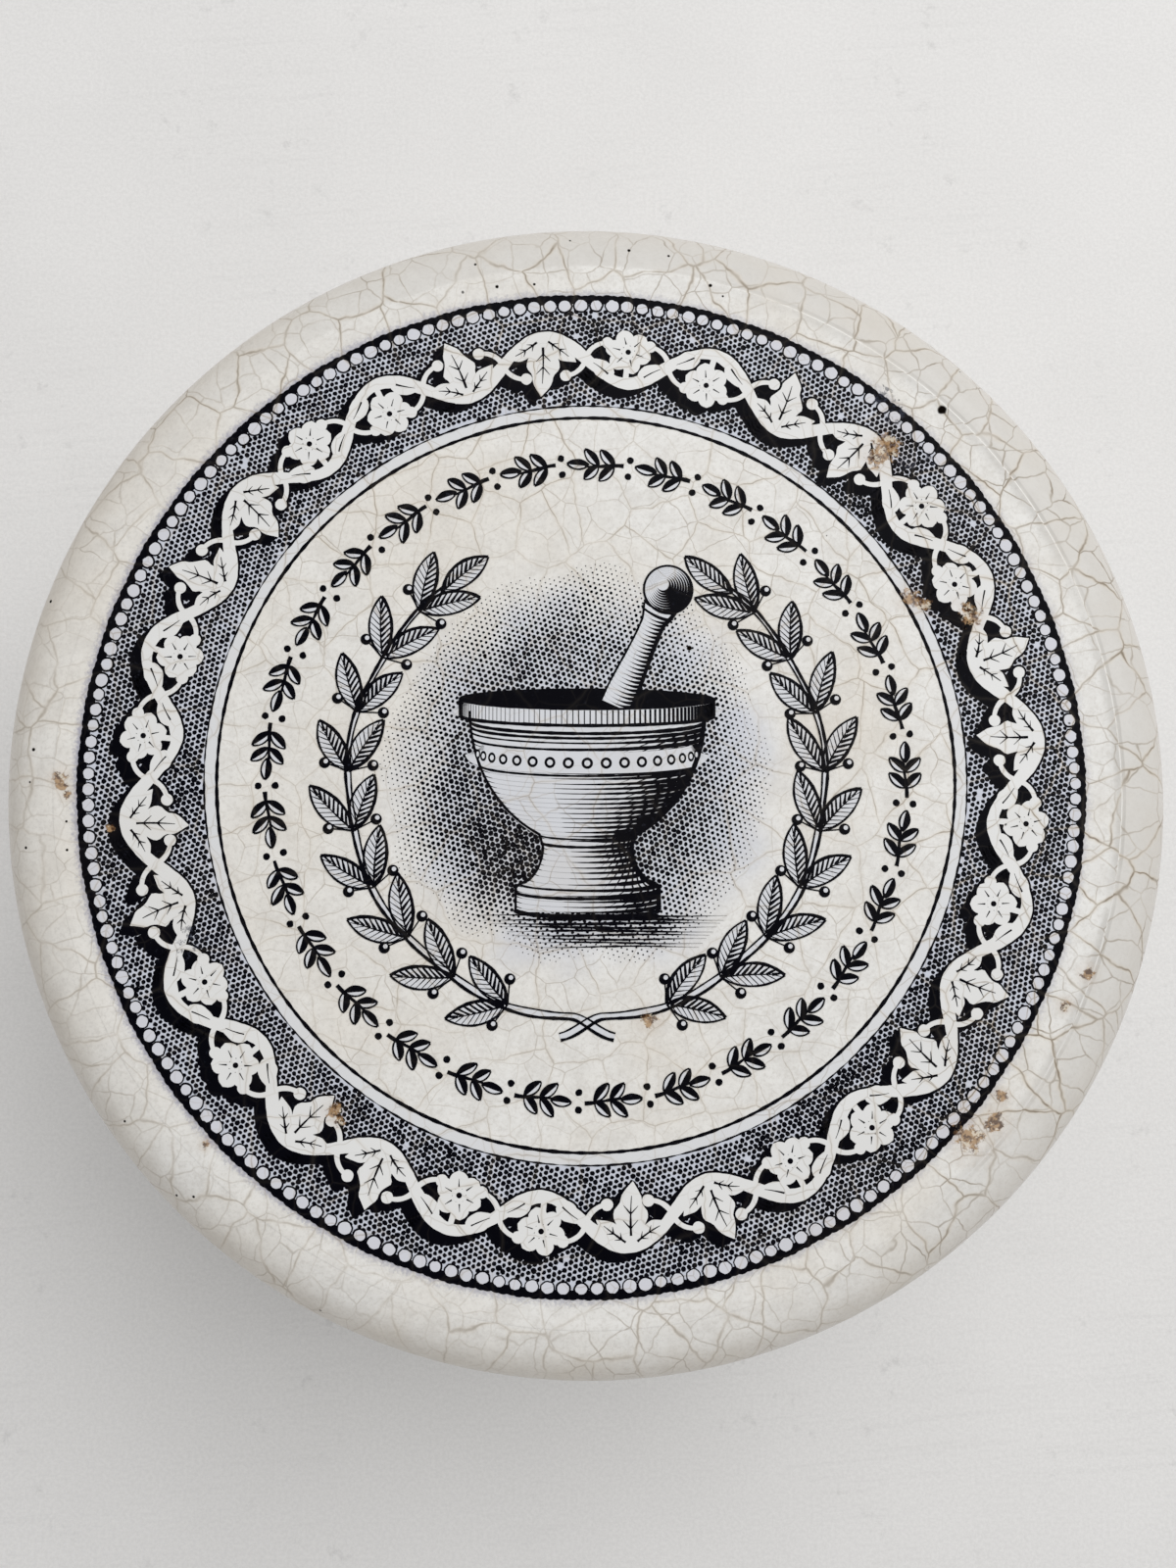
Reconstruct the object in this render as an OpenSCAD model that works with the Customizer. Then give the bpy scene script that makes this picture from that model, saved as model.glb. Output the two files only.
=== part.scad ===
// Toothpaste pot: a glazed earthenware jar with a lift-off lid, transfer printed on its flat top.
// +Z is up. The origin is the centre of the circle that the foot ring stands on.

/* [Lid] */
// Outer diameter of the lid over its skirt
lid_d = 84; // [80:0.5:100]
// Height of the lid from the edge of its skirt to its flat top
lid_h = 12.5; // [11:0.5:18]
// Thickness of the lid's flat top
lid_top_t = 3; // [2:0.1:4]
// Thickness of the lid's skirt
skirt_t = 3.2; // [2.6:0.1:4]
// Width of the rounded shoulder around the flat top
shoulder_w = 4.2; // [3:0.1:6]
// Drop of the rounded shoulder down to the straight skirt
shoulder_h = 4.2; // [3:0.1:6]
// Height of the small step that edges the flat top
step_h = 0.25; // [0.1:0.05:0.5]
// Width of the crease at the foot of the step
crease_w = 0.15; // [0.05:0.05:0.4]
// Radius of the two edges under the skirt
skirt_edge_r = 0.6; // [0.2:0.1:1]
// Radius inside the lid, between its top and its skirt
lid_corner_r = 2.5; // [1:0.5:3]

/* [Pot] */
// Height of the ledge that the lid stands on
ledge_h = 33.5; // [20:0.5:60]
// How far the lid reaches out past the pot's wall
lid_overhang = 0.7; // [0:0.1:1.2]
// Gap all round between the lid's skirt and the pot's neck
neck_gap = 0.6; // [0.3:0.1:1]
// Gap between the rim of the neck and the lid's top
rim_gap = 1.5; // [0.5:0.1:3]
// Thickness of the neck and its wall
neck_t = 2.8; // [2.2:0.1:4]
// Thickness of the floor over the hollow base
floor_t = 4.6; // [3:0.1:8]
// Radius inside the pot, between the floor and the wall
floor_corner_r = 6; // [2:0.5:9]
// Radius of the two edges of the rim
rim_edge_r = 1; // [0.3:0.1:1.1]
// Radius of the outer edge of the ledge
ledge_edge_r = 0.6; // [0.2:0.1:1]
// Radius around the foot of the wall
base_edge_r = 3; // [1:0.5:5]
// Height of the foot ring
foot_h = 1.4; // [0.6:0.1:3]
// Width of the foot ring
foot_w = 6; // [3:0.5:10]
// Set-back of the foot ring from the rounded base
foot_inset = 0.8; // [0.3:0.1:2]
// Radius of the two edges of the foot ring
foot_edge_r = 0.4; // [0.1:0.1:0.5]

/* [Printed border and band] */
// Thickness of the printed layer
print_t = 0.08; // [0.05:0.01:0.2]
// Bare margin between the step and the print
print_margin = 2.15; // [1.5:0.05:4]
// How far the print sits off the lid's centre, along X
print_shift_x = -0.45; // [-1:0.05:1]
// How far the middle of the print sits off its border, along X
middle_shift_x = 0.2; // [-0.5:0.05:0.5]
// How far the middle of the print sits off its border, along Y
middle_shift_y = 0.35; // [-0.5:0.05:0.5]
// Width of the dark line outside the beads
border_line_w = 0.42; // [0.2:0.02:1]
// Diameter of one pale bead
bead_d = 0.7; // [0.5:0.02:0.9]
// Distance from one bead to the next
bead_pitch = 1.12; // [1:0.01:1.6]
// Width of the dark line inside the beads
bead_line_w = 0.1; // [0.08:0.02:0.4]
// Width of the stippled band
band_w = 7.42; // [6.5:0.02:8]
// White gap between the band and the thin ring
ring_gap = 0.76; // [0.4:0.02:1.5]
// Width of the thin ring
ring_line_w = 0.22; // [0.1:0.02:0.5]

/* [Scroll reserved in the band] */
// Distance from one leaf of the scroll to the next
scroll_pitch = 6; // [5.5:0.1:8]
// How far the scroll's stem swings to each side
stem_swing = 1.7; // [1:0.1:2]
// Width of the scroll's stem
stem_w = 0.7; // [0.3:0.05:0.9]
// Length of the scroll's middle leaf
leaf_l = 4.1; // [2.5:0.1:4.4]
// Width of the scroll's middle leaf
leaf_w = 1.9; // [1:0.1:2.2]
// Length of the scroll's two side leaves
side_leaf_l = 2.5; // [1.5:0.1:2.8]
// Width of the scroll's two side leaves
side_leaf_w = 1.1; // [0.7:0.1:1.4]
// Angle of the side leaves from the middle leaf
side_leaf_angle = 52; // [40:1:65]

/* [Ring of small sprigs] */
// White gap between the thin ring and the sprigs
sprig_gap = 1.7; // [1:0.1:3]
// Width of the ring that the sprigs fill
sprig_ring_w = 3.4; // [2.5:0.1:4]
// Distance from one sprig to the next
sprig_pitch = 4.8; // [4.5:0.1:7]
// Length of one sprig's stem
sprig_stem_l = 2.8; // [2:0.1:3.5]
// Width of one sprig's stem
sprig_stem_w = 0.24; // [0.15:0.01:0.4]
// Length of one of a sprig's leaves
sprig_leaf_l = 1.45; // [0.8:0.05:1.6]
// Width of one of a sprig's leaves
sprig_leaf_w = 0.6; // [0.3:0.05:0.7]

/* [Picture of a mortar between two branches] */
// White gap between the sprigs and the branches
branch_gap = 1.4; // [0.8:0.1:3]
// Width of the arc that the branches fill
branch_w = 5.2; // [4:0.1:6]
// Width of a branch's stem
branch_stem_w = 0.5; // [0.3:0.05:1]
// Length of one of a branch's leaves
branch_leaf_l = 4.4; // [3:0.1:5]
// Width of one of a branch's leaves
branch_leaf_w = 1.5; // [1:0.1:2]
// Width of the mortar over its rim
mortar_w = 18; // [13:0.5:19]
// Height of the mortar
mortar_h = 15.5; // [11:0.5:17]
// Height of the mortar's rim
mortar_rim_h = 1.5; // [0.8:0.1:2]
// Width of the mortar's foot
mortar_foot_w = 10; // [7:0.2:11]
// Width of the mortar's waist over the foot
mortar_waist_w = 6.2; // [4:0.2:6.8]
// Length of the pestle that shows over the rim
pestle_l = 10.5; // [8:0.5:11.5]
// Thickness of the pestle's handle
pestle_t = 2.2; // [1.6:0.1:2.7]
// Diameter of the pestle's knob
pestle_knob_d = 3.4; // [2.8:0.1:4]
// Lean of the pestle from upright
pestle_lean = 24; // [15:1:35]

/* [Hidden] */
glaze = "ivory";
ink = "#22283a";
stipple = "#8b93a3";
round_fn = 180;
small_fn = 24;
arc_steps = 12;

// The lid, outwards from its centre
lid_r = lid_d / 2;
flat_r = lid_r - shoulder_w - crease_w;
skirt_in_r = lid_r - skirt_t;
lid_in_h = lid_h - lid_top_t;
top_z = ledge_h + lid_h;

// The pot, from the same values
wall_r = lid_r - lid_overhang;
neck_r = skirt_in_r - neck_gap;
bore_r = neck_r - neck_t;
rim_z = ledge_h + lid_in_h - rim_gap;
floor_z = foot_h + floor_t;
foot_r = wall_r - base_edge_r - foot_inset;

// The print, from its edge inwards
print_r = flat_r - print_margin;
bead_r = print_r - border_line_w - bead_d / 2;
bead_count = round(360 / (2 * asin(bead_pitch / 2 / bead_r)));
band_r = bead_r - bead_d / 2 - bead_line_w;
scroll_r = band_r - band_w / 2;
half_waves = 2 * round(PI * scroll_r / scroll_pitch);
wave_steps = 6;
ring_r = band_r - band_w - ring_gap;
sprig_r = ring_r - ring_line_w - sprig_gap - sprig_ring_w / 2;
sprig_count = round(2 * PI * sprig_r / sprig_pitch);
branch_r = sprig_r - sprig_ring_w / 2 - branch_gap - branch_w / 2;
branch_start = 12;
branch_end = 142;
branch_leaves = 9;
branch_leaf_angle = 32;
sprig_leaf_angle = 48;

// Points of a quarter ellipse or less about (x, z), with radii rx and rz, from angle a to angle b
function arc(x, z, rx, rz, a, b) =
    [for (i = [0:arc_steps]) let (t = a + (b - a) * i / arc_steps) [x + rx * cos(t), z + rz * sin(t)]];

// Points of the scroll's line, at a distance from the middle of its stem
function wave(side) =
    [for (i = [0:half_waves * wave_steps - 1])
        let (t = 360 * i / (half_waves * wave_steps), r = scroll_r + stem_swing * sin(t * half_waves / 2) + side)
        [r * cos(t), r * sin(t)]];

// A body of revolution from its half profile
module turned(profile) {
    rotate_extrude($fn = round_fn) polygon(profile);
}

// A layer of ink on the lid's flat top
module printed(colour) {
    color(colour) translate([print_shift_x, 0, top_z]) linear_extrude(height = print_t) children();
}

// What lies inside the band, a little off the border's centre
module middle(share = 1) {
    translate([middle_shift_x, middle_shift_y] * share) children();
}

// A flat ring between two radii
module ring(outer_r, inner_r) {
    difference() {
        circle(r = outer_r, $fn = round_fn);
        circle(r = inner_r, $fn = round_fn);
    }
}

// A leaf with two pointed ends, which starts at the origin and points along +X
module leaf(length, width) {
    blade_r = (length * length + width * width) / (4 * width);
    translate([length / 2, 0]) intersection() {
        translate([0, blade_r - width / 2]) circle(r = blade_r, $fn = round_fn);
        translate([0, width / 2 - blade_r]) circle(r = blade_r, $fn = round_fn);
    }
}

// Three leaves that fill one hollow of the scroll, pointing along +X
module leaf_fan() {
    leaf(leaf_l, leaf_w);
    rotate(side_leaf_angle) leaf(side_leaf_l, side_leaf_w);
    rotate(-side_leaf_angle) leaf(side_leaf_l, side_leaf_w);
}

// The scroll: a waving stem, with a leaf fan from each crest into the hollow below it
module scroll() {
    difference() {
        polygon(wave(stem_w / 2));
        polygon(wave(-stem_w / 2));
    }
    for (i = [0:half_waves - 1])
        rotate(360 * (i + 0.5) / half_waves)
            translate([scroll_r + (i % 2 == 0 ? stem_swing : -stem_swing), 0])
                rotate(i % 2 == 0 ? 180 : 0) leaf_fan();
}

// A stem along +X with two pairs of leaves and one at its tip
module sprig() {
    translate([-sprig_stem_l / 2, 0]) {
        translate([0, -sprig_stem_w / 2]) square([sprig_stem_l, sprig_stem_w]);
        for (place = [0.25, 0.65], side = [-1, 1])
            translate([place * sprig_stem_l, 0]) rotate(side * sprig_leaf_angle) leaf(sprig_leaf_l, sprig_leaf_w);
        translate([sprig_stem_l * 0.9, 0]) leaf(sprig_leaf_l, sprig_leaf_w);
    }
}

// One branch: an arc of stem from the bottom up the right side, with leaves on both its sides
module branch() {
    intersection() {
        ring(branch_r + branch_stem_w / 2, branch_r - branch_stem_w / 2);
        polygon([
            [0, 0],
            for (i = [0:arc_steps])
                let (t = -90 + branch_start + (branch_end - branch_start) * i / arc_steps)
                2 * branch_r * [cos(t), sin(t)]
        ]);
    }
    for (i = [0:branch_leaves - 1], side = [-1, 1])
        rotate(-90 + branch_start + (branch_end - branch_start) * (i + 0.5) / branch_leaves)
            translate([branch_r, 0]) rotate(90 + side * branch_leaf_angle) leaf(branch_leaf_l, branch_leaf_w);
    rotate(-90 + branch_end) translate([branch_r, 0]) rotate(90) leaf(branch_leaf_l, branch_leaf_w);
}

// The right half of the mortar's outline: rim, bowl, waist and foot
module half_mortar() {
    bowl_h = (mortar_h - mortar_rim_h) * 0.68;
    foot_rise = mortar_h - mortar_rim_h - bowl_h;
    bowl_w = mortar_w * 0.46;
    polygon(concat(
        [[0, 0], [mortar_foot_w / 2, 0], [mortar_foot_w / 2, foot_rise * 0.3]],
        arc(mortar_foot_w / 2, foot_rise, (mortar_foot_w - mortar_waist_w) / 2, foot_rise * 0.6, -91, -179),
        arc(0, mortar_h - mortar_rim_h, bowl_w, bowl_h, -66, 0),
        [[mortar_w / 2, mortar_h - mortar_rim_h], [mortar_w / 2, mortar_h], [0, mortar_h]]
    ));
}

// The pestle over the rim: a straight handle with a round knob
module pestle() {
    rotate(-pestle_lean) {
        translate([-pestle_t / 2, 0]) square([pestle_t, pestle_l - pestle_knob_d / 2]);
        translate([0, pestle_l - pestle_knob_d / 2]) circle(d = pestle_knob_d, $fn = small_fn);
    }
}

module pot() {
    color(glaze) turned(concat(
        [[0, foot_h], [foot_r - foot_w, foot_h]],
        arc(foot_r - foot_w + foot_edge_r, foot_edge_r, foot_edge_r, foot_edge_r, 180, 270),
        arc(foot_r - foot_edge_r, foot_edge_r, foot_edge_r, foot_edge_r, -90, 0),
        [[foot_r, foot_h]],
        arc(wall_r - base_edge_r, foot_h + base_edge_r, base_edge_r, base_edge_r, -90, 0),
        arc(wall_r - ledge_edge_r, ledge_h - ledge_edge_r, ledge_edge_r, ledge_edge_r, 0, 90),
        [[neck_r, ledge_h]],
        arc(neck_r - rim_edge_r, rim_z - rim_edge_r, rim_edge_r, rim_edge_r, 0, 90),
        arc(bore_r + rim_edge_r, rim_z - rim_edge_r, rim_edge_r, rim_edge_r, 90, 180),
        arc(bore_r - floor_corner_r, floor_z + floor_corner_r, floor_corner_r, floor_corner_r, 0, -90),
        [[0, floor_z]]
    ));
}

module lid() {
    color(glaze) translate([0, 0, ledge_h]) turned(concat(
        [[0, lid_h]],
        arc(flat_r - step_h, lid_h - step_h, step_h, step_h, 90, 0),
        arc(lid_r - shoulder_w, lid_h - step_h - shoulder_h, shoulder_w, shoulder_h, 90, 0),
        arc(lid_r - skirt_edge_r, skirt_edge_r, skirt_edge_r, skirt_edge_r, 0, -90),
        arc(skirt_in_r + skirt_edge_r, skirt_edge_r, skirt_edge_r, skirt_edge_r, 270, 180),
        arc(skirt_in_r - lid_corner_r, lid_in_h - lid_corner_r, lid_corner_r, lid_corner_r, 0, 90),
        [[0, lid_in_h]]
    ));
}

module print_border() {
    printed(ink) difference() {
        ring(print_r, band_r);
        for (i = [0:bead_count - 1])
            rotate(360 * i / bead_count) translate([bead_r, 0]) circle(d = bead_d, $fn = small_fn);
    }
}

module print_band() {
    printed(stipple) difference() {
        circle(r = band_r, $fn = round_fn);
        middle() circle(r = band_r - band_w, $fn = round_fn);
        middle(0.5) scroll();
    }
}

module print_ring() {
    printed(ink) middle() ring(ring_r, ring_r - ring_line_w);
}

module print_sprigs() {
    printed(ink) middle()
        for (i = [0:sprig_count - 1])
            rotate(360 * i / sprig_count) translate([sprig_r, 0]) rotate(90) sprig();
}

module print_picture() {
    printed(ink) middle() {
        branch();
        mirror([1, 0]) branch();
        translate([0, -mortar_h * 0.6]) {
            half_mortar();
            mirror([1, 0]) half_mortar();
            translate([mortar_w * 0.12, mortar_h - mortar_rim_h / 2]) pestle();
        }
    }
}

pot();
lid();
print_border();
print_band();
print_ring();
print_sprigs();
print_picture();
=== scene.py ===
import math
from functools import partial
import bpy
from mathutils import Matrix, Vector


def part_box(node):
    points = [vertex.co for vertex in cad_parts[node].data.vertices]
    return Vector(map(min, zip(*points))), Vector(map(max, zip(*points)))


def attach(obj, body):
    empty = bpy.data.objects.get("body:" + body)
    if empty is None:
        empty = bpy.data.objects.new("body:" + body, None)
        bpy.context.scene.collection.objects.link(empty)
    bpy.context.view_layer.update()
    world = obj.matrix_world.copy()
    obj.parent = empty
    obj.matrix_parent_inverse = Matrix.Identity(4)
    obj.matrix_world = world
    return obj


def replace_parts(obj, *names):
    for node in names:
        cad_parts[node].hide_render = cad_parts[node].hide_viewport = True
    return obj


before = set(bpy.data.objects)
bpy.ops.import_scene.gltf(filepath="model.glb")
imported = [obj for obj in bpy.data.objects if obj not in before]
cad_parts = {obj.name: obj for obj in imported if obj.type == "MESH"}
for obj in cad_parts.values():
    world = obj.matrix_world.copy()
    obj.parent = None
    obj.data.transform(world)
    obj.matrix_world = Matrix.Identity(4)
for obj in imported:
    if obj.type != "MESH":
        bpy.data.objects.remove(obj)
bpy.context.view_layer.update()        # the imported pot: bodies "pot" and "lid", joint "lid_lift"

from types import SimpleNamespace

import bpy
import numpy as np
from mathutils import Matrix, Vector

# Lengths below are in millimetres, in the frame of the CAD model
mm = 0.001
turn = 2 * math.pi
lidLow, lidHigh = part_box("lid")
lidTop = round(lidHigh.z / mm, 3)
ledgeZ = round(lidLow.z / mm, 3)

lidSizes = {
    "radius": 42.0,
    "topThickness": 3.0,
    "skirtThickness": 3.2,
    "shoulderWidth": 4.2,
    "shoulderDrop": 4.2,
    "stepHeight": 0.25,
    "creaseWidth": 0.15,
    "lipWidth": 0.9,         # the glaze gathers into a low lip along the step
    "lipHeight": 0.06,
    "edgeRadius": 0.6,
    "cornerRadius": 2.5,
    "runWidth": 1.8,         # the glaze that has run over the step: how far out, and how deep there
    "runDepth": 0.31,
    "runShare": (0.92, 0.12),
    "runThin": 0.35,         # the direction where it is thinnest, in radians from +X
}
printSizes = {
    "borderCentre": (-0.45, 0.0),
    "middleCentre": (-0.25, 0.35),
    "borderRadius": 35.5,
    "borderLine": 0.42,
    "beadDiameter": 0.7,
    "beadPitch": 1.12,
    "beadLine": 0.1,
    "bandWidth": 7.42,
    "ringGap": 0.76,
    "ringLine": 0.22,
}
stepRadius = lidSizes["radius"] - lidSizes["shoulderWidth"]
borderRadius = printSizes["borderRadius"]
beadRadius = borderRadius - printSizes["borderLine"] - printSizes["beadDiameter"] / 2
bandOuter = beadRadius - printSizes["beadDiameter"] / 2 - printSizes["beadLine"]
bandInner = bandOuter - printSizes["bandWidth"]
ringRadius = bandInner - printSizes["ringGap"] - printSizes["ringLine"] / 2
scrollRadius = (bandOuter + bandInner) / 2
middleCentre = np.array(printSizes["middleCentre"])
borderCentre = np.array(printSizes["borderCentre"])
bandCentre = (borderCentre + middleCentre) / 2
print("frame loaded: lid from", ledgeZ, "to", lidTop, "mm")


# Helpers for shapes

# 0 below low, 1 above high, and 3t^2 - 2t^3 between them
def smoothStep(low, high, x):
    t = np.clip((x - low) / (high - low), 0, 1)
    return t * t * (3 - 2 * t)


# How far the hand-pressed top sinks at a point: a sum of three long waves, from 0 to 0.045 mm
def swell(x, y):
    waves = np.sin(0.085 * x + 0.05 * y + 1.1) + 0.6 * np.sin(0.15 * y - 0.1 * x + 2.0)
    waves = waves + 0.35 * np.sin(0.24 * x + 0.19 * y + 0.4)
    return 0.0225 + 0.0115 * waves


# Height of the printed top at a point
def topHeight(x, y):
    return lidTop - lidSizes["lipHeight"] - swell(x, y)


# Puts points in mm and arrays of faces into a mesh object at the origin, which rides on a body.
# A flat piece gets a map that looks straight down on it.
def buildPiece(name, shape, material, body, flat=True):
    verts, faceLists = shape
    mesh = bpy.data.meshes.new(name)
    sizes = np.concatenate([np.full(len(f), f.shape[1], np.int32) for f in faceLists])
    corners = np.concatenate([f.reshape(-1) for f in faceLists]).astype(np.int32)
    mesh.vertices.add(len(verts))
    mesh.vertices.foreach_set("co", (verts * mm).astype(np.float32).reshape(-1))
    mesh.loops.add(len(corners))
    mesh.loops.foreach_set("vertex_index", corners)
    mesh.polygons.add(len(sizes))
    mesh.polygons.foreach_set("loop_start", np.concatenate([[0], np.cumsum(sizes)[:-1]]).astype(np.int32))
    mesh.update(calc_edges=True)
    mesh.polygons.foreach_set("use_smooth", np.full(len(sizes), not flat))
    if flat:
        seen = mesh.uv_layers.new(name="OFBake")
        span = 2 * (borderRadius + 1.5)
        seen.uv.foreach_set("vector", (verts[corners, :2] / span + 0.5).astype(np.float32).reshape(-1))
    mesh.materials.append(material)
    piece = bpy.data.objects.new(name, mesh)
    bpy.context.scene.collection.objects.link(piece)
    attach(piece, body)
    return piece


# Flat strips on the lid's top: a rectangle carried along a line. At each point of centre [k, n, 2] it reaches
# half, a number or [k, n], to both sides of the line, and from the top up to high. Each layer of the print is
# some thousandths of a millimetre higher than the one that it covers.
def ribbons(centre, half, high, closed=False):
    step = np.roll(centre, -1, 1) - np.roll(centre, 1, 1) if closed else np.gradient(centre, axis=1)
    step = step / np.maximum(np.linalg.norm(step, axis=2, keepdims=True), 1e-9)
    count, points = centre.shape[:2]
    side = np.stack([-step[..., 1], step[..., 0]], 2) * np.broadcast_to(half, (count, points))[..., None]
    left, right = centre + side, centre - side
    ring = np.stack([left, left, right, right], 2)
    z = topHeight(ring[..., 0], ring[..., 1]) + np.array([0, high, high, 0])
    verts = np.concatenate([ring, z[..., None]], 3).reshape(-1, 3)
    at = np.arange(count * points * 4).reshape(count, points, 4)
    here = at if closed else at[:, :-1]
    ahead = np.roll(at, -1, 1) if closed else at[:, 1:]
    walls = np.stack([here, np.roll(here, -1, 2), np.roll(ahead, -1, 2), ahead], 3).reshape(-1, 4)
    return verts, [walls] if closed else [walls, np.concatenate([at[:, 0, ::-1], at[:, -1]])]


# Flat prisms on the lid's top: around each centre [k, 2] a rim of points at radius [m] or [k, m]
def discs(centre, radius, high):
    count, sides = len(centre), radius.shape[-1]
    a = angles(sides)
    x = centre[:, :1] + radius * np.cos(a)
    y = centre[:, 1:] + radius * np.sin(a)
    z = topHeight(x, y)
    verts = np.stack([np.stack([x, y, z], 2), np.stack([x, y, z + high], 2)], 1).reshape(-1, 3)
    at = np.arange(count * 2 * sides).reshape(count, 2, sides)
    lower, upper = at[:, 0], at[:, 1]
    walls = np.stack([lower, np.roll(lower, -1, 1), np.roll(upper, -1, 1), upper], 2).reshape(-1, 4)
    return verts, [walls, upper, lower[:, ::-1]]


# Several shapes as one, with the faces renumbered
def joined(shapes):
    verts, faces, base = [], [], 0
    for points, lists in shapes:
        verts.append(points)
        faces += [f + base for f in lists]
        base += len(points)
    return np.concatenate(verts), faces


# So many angles, evenly round a circle
def angles(count):
    return np.arange(count) * turn / count


# Smooth noise from about -1 to 1: sines of the distance along each line [k, n], with phases of its own
def ragged(along, seed, waves=(1.7, 3.9, 8.3)):
    phase = np.random.default_rng(seed).uniform(0, turn, (len(waves), along.shape[0], 1))
    return sum(np.sin(w * along + p) for w, p in zip(waves, phase)) / len(waves) ** 0.5


# Distance along each line [k, n, 2] to its points
def lengths(centre):
    steps = np.linalg.norm(np.diff(centre, axis=1), axis=2)
    return np.concatenate([np.zeros((len(centre), 1)), np.cumsum(steps, 1)], 1)


# Inked lines: ribbons whose half width is uneven, as a transfer leaves it, and never under least
def strokes(centre, half, high, seed, rough=0.16, least=0.02):
    return ribbons(centre, np.maximum(half * (1 + rough * ragged(lengths(centre), seed)), least), high)


# Points at an angle and a radius about a centre
def polar(angle, radius, centre=(0.0, 0.0)):
    return np.stack([centre[0] + radius * np.cos(angle), centre[1] + radius * np.sin(angle)], -1)


# Lines that start at start [k, 2], head along an angle, and turn steadily by bend over their length
def sweepLine(start, angle, length, bend, points):
    angle, length, bend = np.broadcast_arrays(angle, length, bend)
    t = (np.arange(points - 1) + 0.5) / (points - 1)
    heading = angle[:, None] + bend[:, None] * t
    step = np.stack([np.cos(heading), np.sin(heading)], 2) * (length[:, None, None] / (points - 1))
    return start[:, None] + np.concatenate([np.zeros((len(start), 1, 2)), np.cumsum(step, 1)], 1)


# Points [k, n, 2] at distances u along and v across a direction, which starts at base [k, 2] with angle [k]
def inFrame(base, angle, u, v):
    c, s = np.cos(angle)[:, None], np.sin(angle)[:, None]
    return base[:, None] + np.stack([c * u - s * v, s * u + c * v], 2)


# Points of a hexagonal lattice inside a circle. Slow waves bend its rows, and each point is moved a little.
def hexLattice(pitch, angle, reach, jitter, seed):
    rng = np.random.default_rng(seed)
    n = int(reach / pitch) + 3
    i, j = np.meshgrid(np.arange(-2 * n, 2 * n), np.arange(-2 * n, 2 * n))
    x = (i + j / 2) * pitch
    y = j * pitch * math.sqrt(3) / 2
    c, s = math.cos(angle), math.sin(angle)
    points = np.stack([c * x - s * y, s * x + c * y], -1).reshape(-1, 2)
    points = points[np.linalg.norm(points, axis=1) < reach]
    x, y = points[:, 0], points[:, 1]
    bend = np.stack([np.sin(0.31 * y + 1.0) + np.sin(0.17 * x), np.sin(0.27 * x + 2.0) + np.sin(0.19 * y)], 1)
    return points + 0.12 * bend + rng.normal(0, jitter, points.shape)


# Uneven dots with seven sides
def stipple(spots, radius, high, seed):
    rng = np.random.default_rng(seed)
    return discs(spots, radius[:, None] * (1 + rng.normal(0, 0.11, (len(spots), 7))), high)


# Helpers for nodes. They work in the node tree of the values that they are given.

def treeOf(values):
    return next(v.id_data for v in values if isinstance(v, bpy.types.NodeSocket))


# Sets an input, or links a value to it
def setSocket(socket, value):
    if isinstance(value, bpy.types.NodeSocket):
        socket.id_data.links.new(value, socket)
    elif socket.type == "RGBA" and len(value) == 3:
        socket.default_value = (*value, 1.0)
    else:
        socket.default_value = value


# Adds a shader node, sets its properties, and sets or links its inputs by name or number
def addNode(kind, inputs, tree=None, **settings):
    made = (tree or treeOf(inputs.values())).nodes.new(kind)
    for key, value in settings.items():
        setattr(made, key, value)
    for key, value in inputs.items():
        setSocket(made.inputs[key], value)
    return made


# Math nodes in a row: the first value with the second, the result with the third, and so on
def calc(operation, value, *others):
    for other in others:
        value = addNode("ShaderNodeMath", {0: value, 1: other}, operation=operation).outputs[0]
    return value


plus, minus, times, largest = (partial(calc, kind) for kind in ("ADD", "SUBTRACT", "MULTIPLY", "MAXIMUM"))


def vectorCalc(operation, a, b=(0, 0, 0)):
    made = addNode("ShaderNodeVectorMath", {0: a, 1: b}, operation=operation)
    return made.outputs["Value" if operation in ("LENGTH", "DISTANCE", "DOT_PRODUCT") else "Vector"]


def scaled(vector, factor):
    return addNode("ShaderNodeVectorMath", {0: vector, "Scale": factor}, operation="SCALE").outputs["Vector"]


# The place on the object in mm
def placeMm(tree):
    return scaled(addNode("ShaderNodeTexCoord", {}, tree).outputs["Object"], 1 / mm)


# Smooth change from toLow to toHigh as a value goes from low to high
def ramp(value, low, high, toLow=0.0, toHigh=1.0):
    return addNode("ShaderNodeMapRange", {"Value": value, "From Min": low, "From Max": high, "To Min": toLow,
                   "To Max": toHigh}, interpolation_type="SMOOTHSTEP").outputs["Result"]


def noiseAt(vector, scale, detail=2.0, roughness=0.5, shift=None, part="Fac"):
    if shift:
        vector = vectorCalc("ADD", vector, shift)
    return addNode("ShaderNodeTexNoise", {"Vector": vector, "Scale": scale, "Detail": detail,
                   "Roughness": roughness}).outputs[part]


# Patches of noise: what noiseAt gives, pushed apart by a ramp
def patches(vector, noise, *limits):
    return ramp(noiseAt(vector, *noise), *limits)


# Noise that goes to both sides of 0, by half of reach at most, as a value or as a vector
def sway(vector, reach, *noise):
    return times(minus(noiseAt(vector, *noise), 0.5), reach)


def swayVector(vector, reach, *noise):
    return scaled(vectorCalc("SUBTRACT", noiseAt(vector, *noise, part="Color"), (0.5, 0.5, 0.5)), reach)


def blend(factor, a, b):
    return addNode("ShaderNodeMix", {0: factor, 6: a, 7: b}, data_type="RGBA").outputs[2]


# A colour that turns to one of the tones where all of some masks are 1
def tinted(color, tone, *masks):
    return blend(times(*masks), color, tones[tone])


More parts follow.
